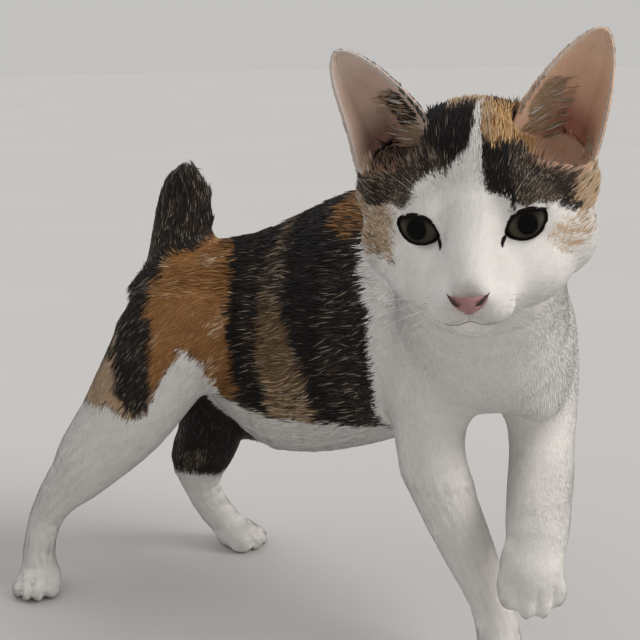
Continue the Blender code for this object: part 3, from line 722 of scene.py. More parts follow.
@dataclass(frozen=True)
class EyeFinish:
    """The painted eye under its clear front: pupil, olive grey iris, dark rim, and a painted shadow of the
    upper lid that darkens its top.

    Attributes:
        pupil: Radius of the pupil.
        iris: Radius of the iris.
    """

    pupil: float = 0.0036
    iris: float = 0.0086

    def material(self) -> bpy.types.Material:
        """Build the material."""
        finish = Finish("eye", specular_ior_level=0.0, coat_weight=0.35, coat_roughness=0.05, coat_ior=1.3,
                        roughness=0.6)
        place = finish.node("ShaderNodeTexCoord", {}, {}, "Object")
        vector = "ShaderNodeVectorMath"
        flat = finish.node(vector, {"operation": "MULTIPLY"}, {0: place, 1: (1.0, 0.0, 0.92)})
        reach = finish.node(vector, {"operation": "LENGTH"}, {0: flat}, "Value")
        ray = finish.node(vector, {"operation": "NORMALIZE"}, {0: flat})
        fibre = finish.node("ShaderNodeTexNoise", {}, {"Vector": ray, "Scale": 26.0, "Detail": 4.0})
        wavy = reach + (fibre - 0.5) * 0.0009
        rings = ((0.0, (0.001, 0.001, 0.001)), (self.pupil / EYE_RADIUS, (0.0015, 0.0015, 0.0015)),
                 ((self.pupil + 0.0007) / EYE_RADIUS, (0.066, 0.056, 0.042)), (0.54, (0.125, 0.108, 0.080)),
                 ((self.iris - 0.0010) / EYE_RADIUS, (0.062, 0.052, 0.038)),
                 (self.iris / EYE_RADIUS, (0.008, 0.006, 0.005)), (0.88, (0.010, 0.007, 0.006)),
                 (1.0, (0.010, 0.007, 0.006)))
        painted = finish.node("ShaderNodeValToRGB", {"stops": rings}, {"Fac": wavy * (1.0 / EYE_RADIUS)})
        streaks = finish.mix(fibre * 0.45, painted, (0.002, 0.002, 0.002))
        # Painted shadow: the ball is darkened towards its top, standing in for the shade of the upper lid.
        height = finish.node("ShaderNodeSeparateXYZ", {}, {"Vector": place}, "Z")
        lid_shadow = finish.node("ShaderNodeMapRange", {"interpolation_type": "SMOOTHSTEP"},
                             {"Value": height, "From Min": 0.0005, "From Max": 0.0050})
        finish.set("Base Color", finish.mix(lid_shadow * 0.85, streaks, (0.003, 0.0025, 0.002)))
        return finish.material


@dataclass(frozen=True)
class FleshFinish:
    """Bare skin and horn: nose leather, nostril, lip, lid rim, toe pad, claw or whisker.

    Attributes:
        name: The material's name.
        light: The lighter colour.
        dark: The darker colour.
        roughness: Mean roughness.
        grain: Size of its grain in repeats a metre.
        depth: Height of the grain.
        shine: Strength of its reflection.
    """

    name: str
    light: Colour
    dark: Colour
    roughness: float = 0.5
    grain: float = 1500.0
    depth: float = 0.00008
    shine: float = 0.4

    def material(self) -> bpy.types.Material:
        """Build the material."""
        finish = Finish(self.name, specular_ior_level=self.shine)
        broad = finish.noise(160.0)
        fine = finish.noise(self.grain, 2.0)
        finish.set("Base Color", finish.mix(broad, self.dark, self.light))
        finish.set("Roughness", self.roughness + (fine - 0.5) * 0.2)
        finish.bump(fine, self.depth)
        return finish.material


def link(name: str, data: Any) -> bpy.types.Object:
    """Make an object and link it into the scene."""
    item = bpy.data.objects.new(name, data)
    bpy.context.scene.collection.objects.link(item)
    return item


def add_object(name: str, mesh: bpy.types.Mesh, material: bpy.types.Material) -> bpy.types.Object:
    """Link a new piece with its material and let it ride on the cat."""
    item = link(name, mesh)
    mesh.materials.clear()
    mesh.materials.append(material)
    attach(item, "root")
    LOG.info("%s: %d faces", name, len(mesh.polygons))
    return item


def thicken(item: bpy.types.Object, thickness: float, offset: float) -> None:
    """Turn a piece's open surface into a closed shell."""
    shell = item.modifiers.new("Thickness", "SOLIDIFY")
    shell.thickness = thickness
    shell.offset = offset


def smooth_mesh(name: str, shape: bmesh.types.BMesh) -> bpy.types.Mesh:
    """Turn a shape into a smooth mesh and free the shape."""
    mesh = bpy.data.meshes.new(name)
    shape.to_mesh(mesh)
    shape.free()
    mesh.shade_smooth()
    return mesh


def take_in(shape: bmesh.types.BMesh, mesh: bpy.types.Mesh) -> None:
    """Add a mesh to a shape and remove the mesh."""
    shape.from_mesh(mesh)
    bpy.data.meshes.remove(mesh)


def add_ball(shape: bmesh.types.BMesh, placing: Matrix, radii: Iterable[float], sides: int,
             rings: int) -> None:
    """Add a round body with three radii to a shape."""
    placing = placing @ Matrix.Diagonal((*radii, 1.0))
    bmesh.ops.create_uvsphere(shape, u_segments=sides, v_segments=rings, radius=1.0, matrix=placing)


def mesh_of(name: str, points: Array, faces: Array) -> bpy.types.Mesh:
    """Make a smooth mesh from arrays.

    Args:
        name: The mesh's name.
        points: Vertex places, one row each.
        faces: Vertex numbers, one row for each face, all of the same count.

    Returns:
        The mesh.
    """
    mesh = bpy.data.meshes.new(name)
    count, corners = faces.shape
    mesh.vertices.add(len(points))
    mesh.vertices.foreach_set("co", np.ascontiguousarray(points, dtype=np.float32).ravel())
    mesh.loops.add(count * corners)
    mesh.loops.foreach_set("vertex_index", np.ascontiguousarray(faces, dtype=np.int32).ravel())
    mesh.polygons.add(count)
    mesh.polygons.foreach_set("loop_start", np.arange(0, count * corners, corners, dtype=np.int32))
    mesh.update(calc_edges=True)
    mesh.shade_smooth()
    return mesh


def grid(first: Array, second: Array) -> tuple[Array, Array, Array]:
    """Lay out a grid of quads.

    Args:
        first: The rows' values.
        second: The columns' values.

    Returns:
        Each point's value of both kinds, and the faces' vertex numbers.
    """
    wide = len(second)
    corner = (np.arange(len(first) - 1)[:, None] * wide + np.arange(wide - 1)).ravel()
    faces = np.stack((corner, corner + 1, corner + wide + 1, corner + wide), axis=1)
    rows, columns = (values.ravel() for values in np.meshgrid(first, second, indexing="ij"))
    return rows, columns, faces


def paint(mesh: bpy.types.Mesh, colours: Array) -> None:
    """Store one colour for each vertex."""
    layer = mesh.color_attributes.new(TINT, "FLOAT_COLOR", "POINT")
    rows = np.concatenate((colours, np.ones((len(colours), 1))), axis=1)
    layer.data.foreach_set("color", rows.astype(np.float32).ravel())


def unwrap(mesh: bpy.types.Mesh, faces: Array, mapped: Array) -> None:
    """Store each vertex's place on the unwrap at all its corners."""
    layer = mesh.uv_layers.new(name=BAKE_MAP)
    layer.data.foreach_set("uv", mapped[faces.ravel()].astype(np.float32).ravel())


def rows_of(items: bpy.types.bpy_prop_collection, name: str, width: int, kind: type = np.float32) -> Array:
    """Read one property of a mesh's items, one row each."""
    values = np.empty(len(items) * width, kind)
    items.foreach_get(name, values)
    return values.reshape(-1, width)


def blend_over_edges(mesh: bpy.types.Mesh, values: Array, rounds: int = 1) -> Array:
    """Return each vertex's values blended with its neighbours' mean.

    Args:
        mesh: The mesh.
        values: One row for each vertex.
        rounds: How often they are blended.

    Returns:
        The blended rows.
    """
    first, second = rows_of(mesh.edges, "vertices", 2, np.int32).T
    count = len(values)
    degree = np.bincount(first, minlength=count) + np.bincount(second, minlength=count)
    for _ in range(rounds):
        total = np.empty_like(values)
        for column in range(values.shape[1]):
            total[:, column] = np.bincount(first, values[second, column], count)
            total[:, column] += np.bincount(second, values[first, column], count)
        values = 0.4 * values + 0.6 * total / np.maximum(degree, 1)[:, None]
    return values


@dataclass(frozen=True)
class Filling:
    """A rounded piece of flesh that is fused into the skin with the solids.

    Attributes:
        node: The solid that it counts as.
        middle: Its middle.
        radii: Its radii.
    """

    node: Node
    middle: Place
    radii: Place


@dataclass
class Skin:
    """The one skin of the cat's flesh, fused from the solids and sunk by the coat's depth.

    Attributes:
        overlap: How far each solid is swollen so that they fuse over their gaps.
        voxel: Fineness of the fused surface.
        smoothing: Rounds of smoothing.
        kept: Share of the fused faces that stay.
        body_depth: Depth of the coat over the body.
        leg_depth: Depth of the coat over the legs, feet and tail.
        face_depth: Depth of the coat over the face.
        toe_groove: Depth of the grooves between the toes.
        raised_groove: Their depth on the raised paw.
        softening: Rounds in which creases are rounded off.
        root_softening: How strongly at the tail's root, from 0 to 1.
        paw_softening: How strongly on the raised paw.
        nose_softening: How strongly round the nose.
        fillings: Flesh that fills the notch before the tail's root and the fold before the raised shoulder.
    """

    overlap: float = 0.0004
    voxel: float = 0.0011
    smoothing: int = 4
    kept: float = 0.37
    body_depth: float = 0.0027
    leg_depth: float = 0.0012
    face_depth: float = 0.0008
    toe_groove: float = 0.0013
    raised_groove: float = 0.00065
    softening: int = 220
    root_softening: float = 0.22
    paw_softening: float = 0.05
    nose_softening: float = 0.13
    fillings: tuple[Filling, ...] = (
        Filling(Node.TAIL, (-0.0150, 0.1312, 0.2075), (0.0176, 0.0176, 0.0160)),
        Filling(Node.TORSO, (0.0905, -0.0785, 0.1690), (0.0125, 0.0125, 0.0240)),
        Filling(Node.TORSO, (0.0845, -0.0745, 0.1490), (0.0140, 0.0130, 0.0200)),
    )
    item: bpy.types.Object = field(init=False)
    places: Array = field(init=False)
    normals: Array = field(init=False)
    nodes: Array = field(init=False)

    def build(self, solids: dict[str, bpy.types.Object], finish: HairFinish) -> None:
        """Fuse, sink, soften, carve and unwrap the skin."""
        tree, owners = self._fuse(solids, finish)
        self._place(rows_of(self.item.data.vertices, "co", 3).astype(float))
        self.nodes = np.array([owners[tree.find_nearest(Vector(place))[2]] for place in self.places])
        self._place(self._soften(self._sink()))
        self._place(self._part_toes())
        self._unwrap()
        LOG.info("skin: %d faces once fused", len(self.item.data.polygons))
        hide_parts(*[node.value for node in Node])

    def on(self, node: Node) -> Array:
        """Return which vertices belong to a solid."""
        return self.nodes == NUMBER[node]

    def _place(self, places: Array) -> None:
        """Move the vertices to new places and keep their normals there."""
        mesh = self.item.data
        mesh.vertices.foreach_set("co", places.astype(np.float32).ravel())
        mesh.update()
        self.places = places
        self.normals = rows_of(mesh.vertex_normals, "vector", 3).astype(float)

    def _fuse(self, solids: dict[str, bpy.types.Object], finish: HairFinish) -> tuple[BVHTree, list[int]]:
        """Join swollen copies of the solids into one closed surface.

        Args:
            solids: The solids by name.
            finish: The skin's finish.

        Returns:
            A tree of the solids' faces, and the number of the solid that each face belongs to.
        """
        joined = bmesh.new()
        owners = []
        for node, number in NUMBER.items():
            shape = bmesh.new()
            shape.from_mesh(solids[node.value].data)
            bmesh.ops.remove_doubles(shape, verts=shape.verts, dist=0.000002)
            shape.normal_update()
            for vert in shape.verts:
                vert.co += vert.normal * self.overlap
            take_in(joined, smooth_mesh("swollen", shape))
            owners.extend([number] * (len(joined.faces) - len(owners)))
        for filling in self.fillings:
            add_ball(joined, Matrix.Translation(filling.middle), filling.radii, 32, 20)
            owners.extend([NUMBER[filling.node]] * (len(joined.faces) - len(owners)))
        tree = BVHTree.FromBMesh(joined)
        self.item = add_object("skin", smooth_mesh("skin", joined), finish.material())
        remesh = self.item.modifiers.new("Fuse", "REMESH")
        remesh.mode = "VOXEL"
        remesh.voxel_size = self.voxel
        blend = self.item.modifiers.new("Blend", "SMOOTH")
        blend.factor = 0.5
        blend.iterations = self.smoothing
        self._apply()
        thin = self.item.modifiers.new("Thin out", "DECIMATE")
        thin.ratio = self.kept
        self._apply()
        self.item.data.shade_smooth()
        return tree, owners

    def _apply(self) -> None:
        """Turn the modifiers' result into the skin's own mesh."""
        graph = bpy.context.evaluated_depsgraph_get()
        mesh = bpy.data.meshes.new_from_object(self.item.evaluated_get(graph))
        self.item.modifiers.clear()
        self.item.data = mesh

    def _sink(self) -> Array:
        """Return places further in by the coat's depth, which grows less on the face and feet."""
        local = HEAD.inward(self.places)
        shank = ramp(self.places[:, 2], 0.140, 0.06)
        leg_depth = self.leg_depth + (self.body_depth - self.leg_depth) * shank
        on_leg = np.isin(self.nodes, [NUMBER[paw.node] for paw in PAWS])
        depth = np.where(on_leg, leg_depth, self.body_depth)
        depth[self.on(Node.TAIL)] = self.leg_depth
        face = 1.0 - ramp(local[:, 1], 0.040, 0.03)
        head_depth = self.face_depth * face + self.body_depth * (1.0 - face)
        depth = np.where(self.on(Node.HEAD), head_depth, depth)
        for side in Side:
            depth *= ramp(from_eye(local, side), SOCKET_RADIUS, 0.006) * 0.95 + 0.05
        blended = blend_over_edges(self.item.data, depth[:, None], BORDER_ROUNDS)[:, 0]
        depth = np.where(self.on(Node.HEAD) & (local[:, 1] < 0.020), depth, blended)
        return self.places - self.normals * (self.overlap + depth)[:, None]

    def _near_borders(self) -> Array:
        """Return 1 on the borders between the solids, fading to 0 a few millimetres away."""
        shares = np.stack([self.on(node) for node in Node], axis=1).astype(float)
        shares = blend_over_edges(self.item.data, shares, 8)
        return np.clip((1.0 - shares.max(axis=1)) * 5.0, 0.0, 1.0)

    def _soften(self, places: Array) -> Array:
        """Round off the creases round the chest and the nose, at the tail's root and over borders."""
        along, _ = SPINE.places(places)
        chest = (1.0 - ramp(along, 0.085, 0.05)) * ramp(places[:, 2], 0.110, 0.02)
        chest *= 1.0 - ramp(places[:, 2], 0.232, 0.016)
        root = bell(places[:, 2], 0.204, 0.020) * ramp(along, 0.210, 0.02)
        weight = np.maximum(chest, self._near_borders() * (1.0 - root))
        weight = np.maximum(weight, self.root_softening * root)
        weight[self.on(Node.HEAD)] = 0.0
        reach = np.linalg.norm(RAISED.inward(places), axis=1) / RAISED.width
        paw = (1.0 - ramp(reach, 1.35, 0.4)) * self.on(RAISED.node)
        weight = np.maximum(weight, self.paw_softening * paw)
        nose = np.linalg.norm((HEAD.inward(places) - np.array((0.0, -0.0310, -0.0160))) / 0.0065, axis=1)
        weight = np.maximum(weight, self.nose_softening * bell(nose, 0.0, 1.0))
        for _ in range(self.softening):
            blended = blend_over_edges(self.item.data, places)
            places = places + (blended - places) * weight[:, None]
        return places

    def _part_toes(self) -> Array:
        """Return places with grooves pressed between the toes of each paw."""
        places = self.places
        for paw in PAWS:
            across, along, up = (paw.inward(places) / paw.step).T
            near = ramp(-along, 0.75, 0.8) * ramp(-np.abs(up - 0.9), -1.2, 0.4)
            near *= (np.abs(across) < 2.2) * (along > -2.6)
            press = np.max([bell(across, gap, 0.13) for gap in (-0.72, 0.0, 0.72)], axis=0)
            groove = self.raised_groove if paw is RAISED else self.toe_groove
            places = places - self.normals * (press * near * groove)[:, None]
        return places

    def _unwrap(self) -> None:
        """Unwrap the skin by its own shape into the map that the coat shares."""
        self.item.data.uv_layers.new(name=BAKE_MAP)
        bpy.context.view_layer.objects.active = self.item
        self.item.select_set(True)
        bpy.ops.object.mode_set(mode="EDIT")
        bpy.ops.mesh.select_all(action="SELECT")
        bpy.ops.uv.smart_project(angle_limit=math.radians(66.0), island_margin=0.001)
        bpy.ops.object.mode_set(mode="OBJECT")
        self.item.select_set(False)


@dataclass
class Tufts:
    """A field of tufts, each a closed leaf bent at its widest place.

    Attributes:
        place: Roots.
        normal: The surface's normals at the roots.
        flow: The way each tuft lies.
        length: Lengths.
        width: Widths.
        lift: Angles between the surface and the tufts' lower parts, in degrees.
        lean: How far the shading of neighbours differs.
        base: Colours near the roots.
        tip: Colours of the tips.
        mapped: Places of the roots on the unwrap.
    """

    place: Array
    normal: Array
    flow: Array
    length: Array
    width: Array
    lift: Array
    lean: Array
    base: Array
    tip: Array
    mapped: Array

    def take(self, chosen: Array) -> "Tufts":
        """Return some of the tufts."""
        return Tufts(**{item.name: getattr(self, item.name)[chosen] for item in fields(self)})

    def shape(self, random: np.random.Generator) -> tuple[Array, Array]:
        """Return the tufts' vertices and their shading normals, both as (tuft, 4, 3)."""
        count = len(self.length)
        side = np.cross(self.normal, self.flow)
        swirl = 0.26 * value_noise(self.place, 0.012, SEED + 3)
        swirl += 0.16 * value_noise(self.place, 0.004, SEED + 4)
        calm = np.clip(self.lean / 0.24, 0.30, 1.0)
        turn = ((swirl + 0.13 * random.standard_normal(count)) * calm)[:, None]
        flow = unit(self.flow * np.cos(turn) + side * np.sin(turn))
        side = np.cross(self.normal, flow)
        length = (self.length * (0.72 + 0.5 * random.random(count)))[:, None]
        half = self.width[:, None] * (0.4 + 0.25 * random.random((count, 1)))
        lift = np.radians(self.lift[:, None] * (1.0 + 0.33 * random.standard_normal((count, 1))))
        droop = np.radians(self.lift[:, None] * 0.28 * random.standard_normal((count, 1)))
        belt = self.place + (flow * np.cos(lift) + self.normal * np.sin(lift)) * (TUFT_BELT * length)
        tip = belt + (flow * np.cos(droop) + self.normal * np.sin(droop)) * ((1.0 - TUFT_BELT) * length)
        base = self.place - self.normal * ROOT_DEPTH
        points = np.stack((base, belt - side * half, belt + side * half, tip), axis=1)
        points[:, :, 2] = np.maximum(points[:, :, 2], LOWEST_HAIR)
        soft = unit(self.normal + side * (self.lean[:, None] * random.standard_normal((count, 1))))
        spread = side * self.lean[:, None] * 1.6
        turned = (soft, unit(soft - spread), unit(soft + spread), unit(soft + flow * 0.15))
        return points, np.stack(turned, axis=1)

    def grow(self, name: str, material: bpy.types.Material,
             random: np.random.Generator) -> bpy.types.Object:
        """Make one piece of all the tufts.

        Args:
            name: The piece's name.
            material: The hair's material.
            random: The source of random numbers.

        Returns:
            The piece.
        """
        points, normals = self.shape(random)
        pattern = np.array(((0, 1, 2), (1, 3, 2), (0, 3, 1), (0, 2, 3)))
        faces = (np.arange(len(points))[:, None, None] * 4 + pattern).reshape(-1, 3)
        mesh = mesh_of(name, points.reshape(-1, 3), faces)
        middle = self.base * 0.4 + self.tip * 0.6
        paint(mesh, np.stack((self.base * 0.92, middle, middle, self.tip), axis=1).reshape(-1, 3))
        patch = np.array(((0.0, -0.0015), (-0.0015, 0.0), (0.0015, 0.0), (0.0, 0.0015)))
        unwrap(mesh, faces, (self.mapped[:, None, :] + patch).reshape(-1, 2))
        mesh.normals_split_custom_set_from_vertices(normals.reshape(-1, 3))
        return add_object(name, mesh, material)


@dataclass
class Coat:
    """The fur: tufts rooted all over the skin, and the look that each part of the body gives them.

    Attributes:
        total: Count of tufts.
        piece_limit: Most tufts in one piece.
        body_length: Length of the hair on the trunk.
        leg_length: Length of the hair on the feet and the lower legs.
        tail_length: Length of the hair on the tail and the throat.
    """

    total: int = 345000
    piece_limit: int = 49000
    body_length: float = 0.0105
    leg_length: float = 0.0040
    tail_length: float = 0.0068

    def build(self, skin: Skin, markings: Markings, material: bpy.types.Material) -> None:
        """Grow the coat in the skin's and the markings' colours."""
        random = np.random.default_rng(SEED)
        shares = markings.shares(skin.places, skin.normals, skin.nodes)
        self._paint_skin(skin, shares)
        lie = self._smooth_flow(skin.item.data, self._raw_flow(skin), skin.normals)
        habits = self._habits(skin, shares[:, :1])
        tufts, nodes = self._field(skin, markings, lie, habits, random)
        along, _ = SPINE.places(tufts.place)
        for node, number in NUMBER.items():
            members = np.flatnonzero(nodes == number)
            members = members[np.argsort(along[members], kind="stable")]
            parts = max(1, math.ceil(len(members) / self.piece_limit))
            for index, chosen in enumerate(np.array_split(members, parts)):
                name = f"coat_{node.value}" if parts == 1 else f"coat_{node.value}_{index + 1}"
                item = tufts.take(chosen).grow(name, material, random)

    @staticmethod
    def _paint_skin(skin: Skin, shares: Array) -> None:
        """Give the skin the colours of the hair's lower half, and pink in the ears' hollows, darker in their
        deepest part as painted shade.
        """
        lower = pigments(ROOT) * 0.6 + pigments(TIP) * 0.4
        local = HEAD.inward(skin.places)
        bare = bare_in_ears(local)[:, None] * skin.on(Node.HEAD)[:, None]
        # Painted shade: the bare pink skin darkens in the deepest part of each hollow.
        hollow_shade = ear_hollow(local, 0.95)[:, None]
        inside = np.array((0.50, 0.315, 0.225)) * (1.0 - hollow_shade) + np.array((0.33, 0.155, 0.115)) * hollow_shade
        paint(skin.item.data, shares @ lower * (1.0 - bare) + inside * bare)

    @staticmethod
    def _raw_flow(skin: Skin) -> Array:
        """Return the lie of the hair at each vertex before it is smoothed."""
        places = skin.places
        from_nose = unit(HEAD.outward(HEAD.inward(places) - np.array(NOSE_TIP)))
        rear = SPINE.rearward(places)
        down = np.array((0.0, 0.0, -1.0))
        side_on = 1.0 - np.abs(skin.normals[:, 2:3])
        along, _ = SPINE.places(places)
        chest = 1.0 - ramp(along, 0.045, 0.07)[:, None]
        flow = rear + down * (0.30 * side_on + 1.2 * chest * side_on)
        flow[skin.on(Node.HEAD)] = from_nose[skin.on(Node.HEAD)]
        neck = skin.on(Node.NECK)
        flow[neck] = np.array((0.49, 0.60, -0.58)) + down * 0.5 * side_on[neck]
        flow[skin.on(Node.TAIL)] = np.array((0.10, -0.05, 1.0))
        high = ramp(places[:, 2], 0.13, 0.06)[:, None]
        for paw in PAWS:
            leg = skin.on(paw.node)
            toes = np.array(paw.matrix.to_3x3() @ Vector((0.0, -1.0, -0.15)))
            near = (1.0 - ramp(paw.reach(places), 0.034, 0.02))[:, None]
            shank = down + (0.8 * toes * (1.0 - high) if paw is RAISED else 0.25 * rear * (1.0 - near))
            mixed = shank * (1.0 - near) * (1.0 - high) + toes * near + (rear + 0.8 * down) * high
            flow[leg] = mixed[leg]
        return unit(flow)

    @staticmethod
    def _smooth_flow(mesh: bpy.types.Mesh, flow: Array, normals: Array) -> Array:
        """Blend the lie of the hair with that of the neighbours and lay it along the surface."""
        for _ in range(LIE_ROUNDS):
            flow = blend_over_edges(mesh, flow)
            flow -= normals * np.sum(flow * normals, axis=1, keepdims=True)
            flow = unit(flow)
        return flow

    def _habits(self, skin: Skin, pale: Array) -> Array:
        """Return how the hair grows, blended over the parts' borders.

        Args:
            skin: The finished skin.
            pale: The share of white hair at each vertex.

        Returns:
            The hair's length, lift and lean at each vertex.
        """
        places = skin.places
        local = HEAD.inward(places)
        along, _ = SPINE.places(places)
        chest = 1.0 - ramp(along, 0.055, 0.05)
        belly = 1.0 - ramp(places[:, 2], 0.118, 0.02)
        habits = np.stack((self.body_length * (1.0 - 0.22 * chest) * (1.0 - 0.2 * belly),
                           13.5 - 6.5 * chest - 4.5 * belly, 0.24 - 0.18 * chest - 0.10 * belly), axis=1)
        from_nose = np.linalg.norm(local - np.array(NOSE_TIP), axis=1)
        ruff = ramp(np.abs(local[:, 0]), 0.034, 0.02) * ramp(-local[:, 2], -0.002, 0.02)
        crown = ramp(local[:, 2], 0.010, 0.02)
        nape = ramp(skin.normals[:, 2], 0.30, 0.5)
        high = ramp(places[:, 2], 0.135, 0.07)
        parts = [
            (Node.HEAD, 0.0020 + 0.0042 * ramp(from_nose, 0.050, 0.06) + 0.0020 * ruff,
             8.0 + 5.0 * ramp(from_nose, 0.05, 0.05) + 5.0 * ruff, 0.07 + 0.16 * crown),
            (Node.TAIL, self.tail_length, 9.0, 0.16),
            (Node.NECK, self.tail_length + 0.0020 * nape, 6.0 + 5.0 * nape, 0.06 + 0.16 * nape),
        ]
        for paw in PAWS:
            length = self.leg_length + (self.body_length * 0.7 - self.leg_length) * high
            length = np.minimum(length, 0.0022 + 0.004 * ramp(paw.reach(places), 0.045, 0.05))
            parts.append((paw.node, length, 6.0 + 2.0 * high, 0.05 + 0.05 * high))
        for node, *values in parts:
            grown = np.stack([np.broadcast_to(value, len(places)) for value in values], axis=1)
            habits[skin.on(node)] = grown[skin.on(node)]
        habits = blend_over_edges(skin.item.data, habits, BORDER_ROUNDS)
        pale = blend_over_edges(skin.item.data, pale, 6)
        ruff = ramp(along, 0.055, 0.03) * ramp(places[:, 2], 0.135, 0.02)
        ruff *= ramp(-skin.normals[:, 0], 0.1, 0.4)
        habits *= 1.0 - pale * np.array((0.22, 0.40, 0.62)) * (1.0 - 0.7 * ruff[:, None])
        tail_root = bell(places[:, 2], 0.202, 0.012) * ramp(along, 0.212, 0.02)
        habits *= 1.0 - tail_root[:, None] * np.array((0.35, 0.75, 0.2))
        for side in Side:
            limit = 0.0016 + 0.009 * ramp(from_eye(local, side), EYE_RADIUS + 0.012, 0.020)
            habits[:, 0] = np.minimum(habits[:, 0], limit)
        return habits

    def _field(self, skin: Skin, markings: Markings, lie: Array, habits: Array,
               random: np.random.Generator) -> tuple[Tufts, Array]:
        """Spread the roots over the skin, closer together where the hair is short.

        Args:
            skin: The finished skin.
            markings: The pattern.
            lie: The way in which the hair lies at each vertex.
            habits: The hair's length, lift and lean at each vertex.
            random: The source of random numbers.

        Returns:
            All the tufts, and the number of the solid that each grows on.
        """
        mesh = skin.item.data
        mesh.calc_loop_triangles()
        corners = rows_of(mesh.loop_triangles, "vertices", 3, np.int32)
        loops = rows_of(mesh.loop_triangles, "loops", 3, np.int32)
        unwrapped = rows_of(mesh.uv_layers[BAKE_MAP].data, "uv", 2)[loops]
        first, second, third = (skin.places[corners[:, k]] for k in range(3))
        area = 0.5 * np.linalg.norm(np.cross(second - first, third - first), axis=1)
        mean_length = habits[corners, 0].mean(axis=1)
        needed = area / (mean_length * self._width(mean_length) * 0.5) * self._grown(skin, corners)
        LOG.info("coat: %.1f layers", self.total / needed.sum())
        bins = np.cumsum(needed)
        picks = (np.arange(self.total) + random.random(self.total)) / self.total * bins[-1]
        chosen = np.minimum(np.searchsorted(bins, picks), len(corners) - 1)
        u, v = np.sqrt(random.random(self.total)), random.random(self.total)
        bary = np.stack((1.0 - u, u * (1.0 - v), u * v), axis=1)[:, :, None]
        corner = corners[chosen]
        place = (skin.places[corner] * bary).sum(axis=1)
        normal = unit((skin.normals[corner] * bary).sum(axis=1))
        flow = unit((lie[corner] * bary).sum(axis=1))
        length, lift, lean = (habits[corner] * bary).sum(axis=1).T
        nodes = skin.nodes[corner[:, 0]]
        ahead = 0.5 * length + 0.0011 * random.standard_normal(self.total)
        shares = markings.shares(place + flow * ahead[:, None], normal, nodes)
        base, tip = self._colours(shares, place, random)
        mapped = (unwrapped[chosen] * bary).sum(axis=1)
        return Tufts(place, normal, flow, length, self._width(length), lift, lean, base, tip, mapped), nodes

    @staticmethod
    def _width(length: Array) -> Array:
        """Return a tuft's width for its length."""
        return 0.00014 + 0.036 * length

    @staticmethod
    def _grown(skin: Skin, corners: Array) -> Array:
        """Return how thickly each face is grown: not in sockets, under the nose leather or on soles."""
        middle = skin.places[corners].mean(axis=1)
        normal = unit(skin.normals[corners].mean(axis=1))
        local = HEAD.inward(middle)
        facing = HEAD.inward(middle + normal) - local
        grown = np.ones(len(corners))
        for side in Side:
            inner = np.sum((np.array(eye_centre(side)) - local) * facing, axis=1) > 0.0
            grown[(from_eye(local, side) < SOCKET_RADIUS) & inner] = 0.0
        grown *= 1.0 - bare_in_ears(local) * skin.on(Node.HEAD)[corners[:, 0]] * 0.95
        down = (NOSE_TOP - local[:, 2]) / NOSE_HEIGHT
        half = NOSE_HALF_WIDTH * np.clip(1.0 - down, 0.0, 1.0) ** NOSE_TAPER
        leather = (down > 0.06) & (np.abs(local[:, 0]) < half)
        grown[leather & (local[:, 1] < -0.024)] = 0.0
        grown[middle[:, 2] < 0.0012] = 0.0
        return grown

    @staticmethod
    def _colours(shares: Array, place: Array, random: np.random.Generator) -> tuple[Array, Array]:
        """Draw each tuft's pigment from the shares, and return its lower and its tip colour."""
        steps = np.cumsum(shares, axis=1)
        draw = random.random(len(shares)) * steps[:, -1]
        kind = np.minimum((draw[:, None] > steps).sum(axis=1), len(Pigment) - 1)
        base, tip, ticked, share = (pigments(column)[kind] for column in (ROOT, TIP, TICKED, TICKED_SHARE))
        has_tick = (random.random(len(kind)) < share)[:, None]
        tip = np.where(has_tick, ticked, tip)
        pale = (kind == list(Pigment).index(Pigment.WHITE))[:, None]
        shade = 1.0 + np.where(pale, 0.10, 0.30) * (random.random((len(kind), 1)) - 0.5)
        shade *= 1.0 + np.where(pale, 0.03, 0.20) * value_noise(place, 0.008, SEED + 17)[:, None]
        return base * shade, tip * shade


def tube(name: str, path: list[Vector], radii: Sequence[float], sides: int, closed: bool) -> bpy.types.Mesh:
    """Sweep a round section along a path.

    Args:
        name: The mesh's name.
        path: Points of the middle line.
        radii: The radius at each point.
        sides: Sides of the section.
        closed: Whether the path's ends meet.

    Returns:
        A closed mesh.
    """
    shape = bmesh.new()
    rings = []
    count = len(path)
    for index, point in enumerate(path):
        ahead = path[(index + 1) % count] if closed else path[min(index + 1, count - 1)]
        behind = path[(index - 1) % count] if closed else path[max(index - 1, 0)]
        tangent = (ahead - behind).normalized()
        across = tangent.cross(Vector((0.31, 0.22, 0.93))).normalized()
        other = tangent.cross(across)
        ring = []
        for step in range(sides):
            angle = 2.0 * math.pi * step / sides
            spoke = across * math.cos(angle) + other * math.sin(angle)
            ring.append(shape.verts.new(point + spoke * radii[index]))
        rings.append(ring)
    pairs = list(zip(rings, rings[1:])) + ([(rings[-1], rings[0])] if closed else [])
    for near, far in pairs:
        for step in range(sides):
            following = (step + 1) % sides
            shape.faces.new((near[step], near[following], far[following], far[step]))
    if not closed:
        shape.faces.new(rings[0])
        shape.faces.new(rings[-1])
    bmesh.ops.recalc_face_normals(shape, faces=shape.faces)
    return smooth_mesh(name, shape)


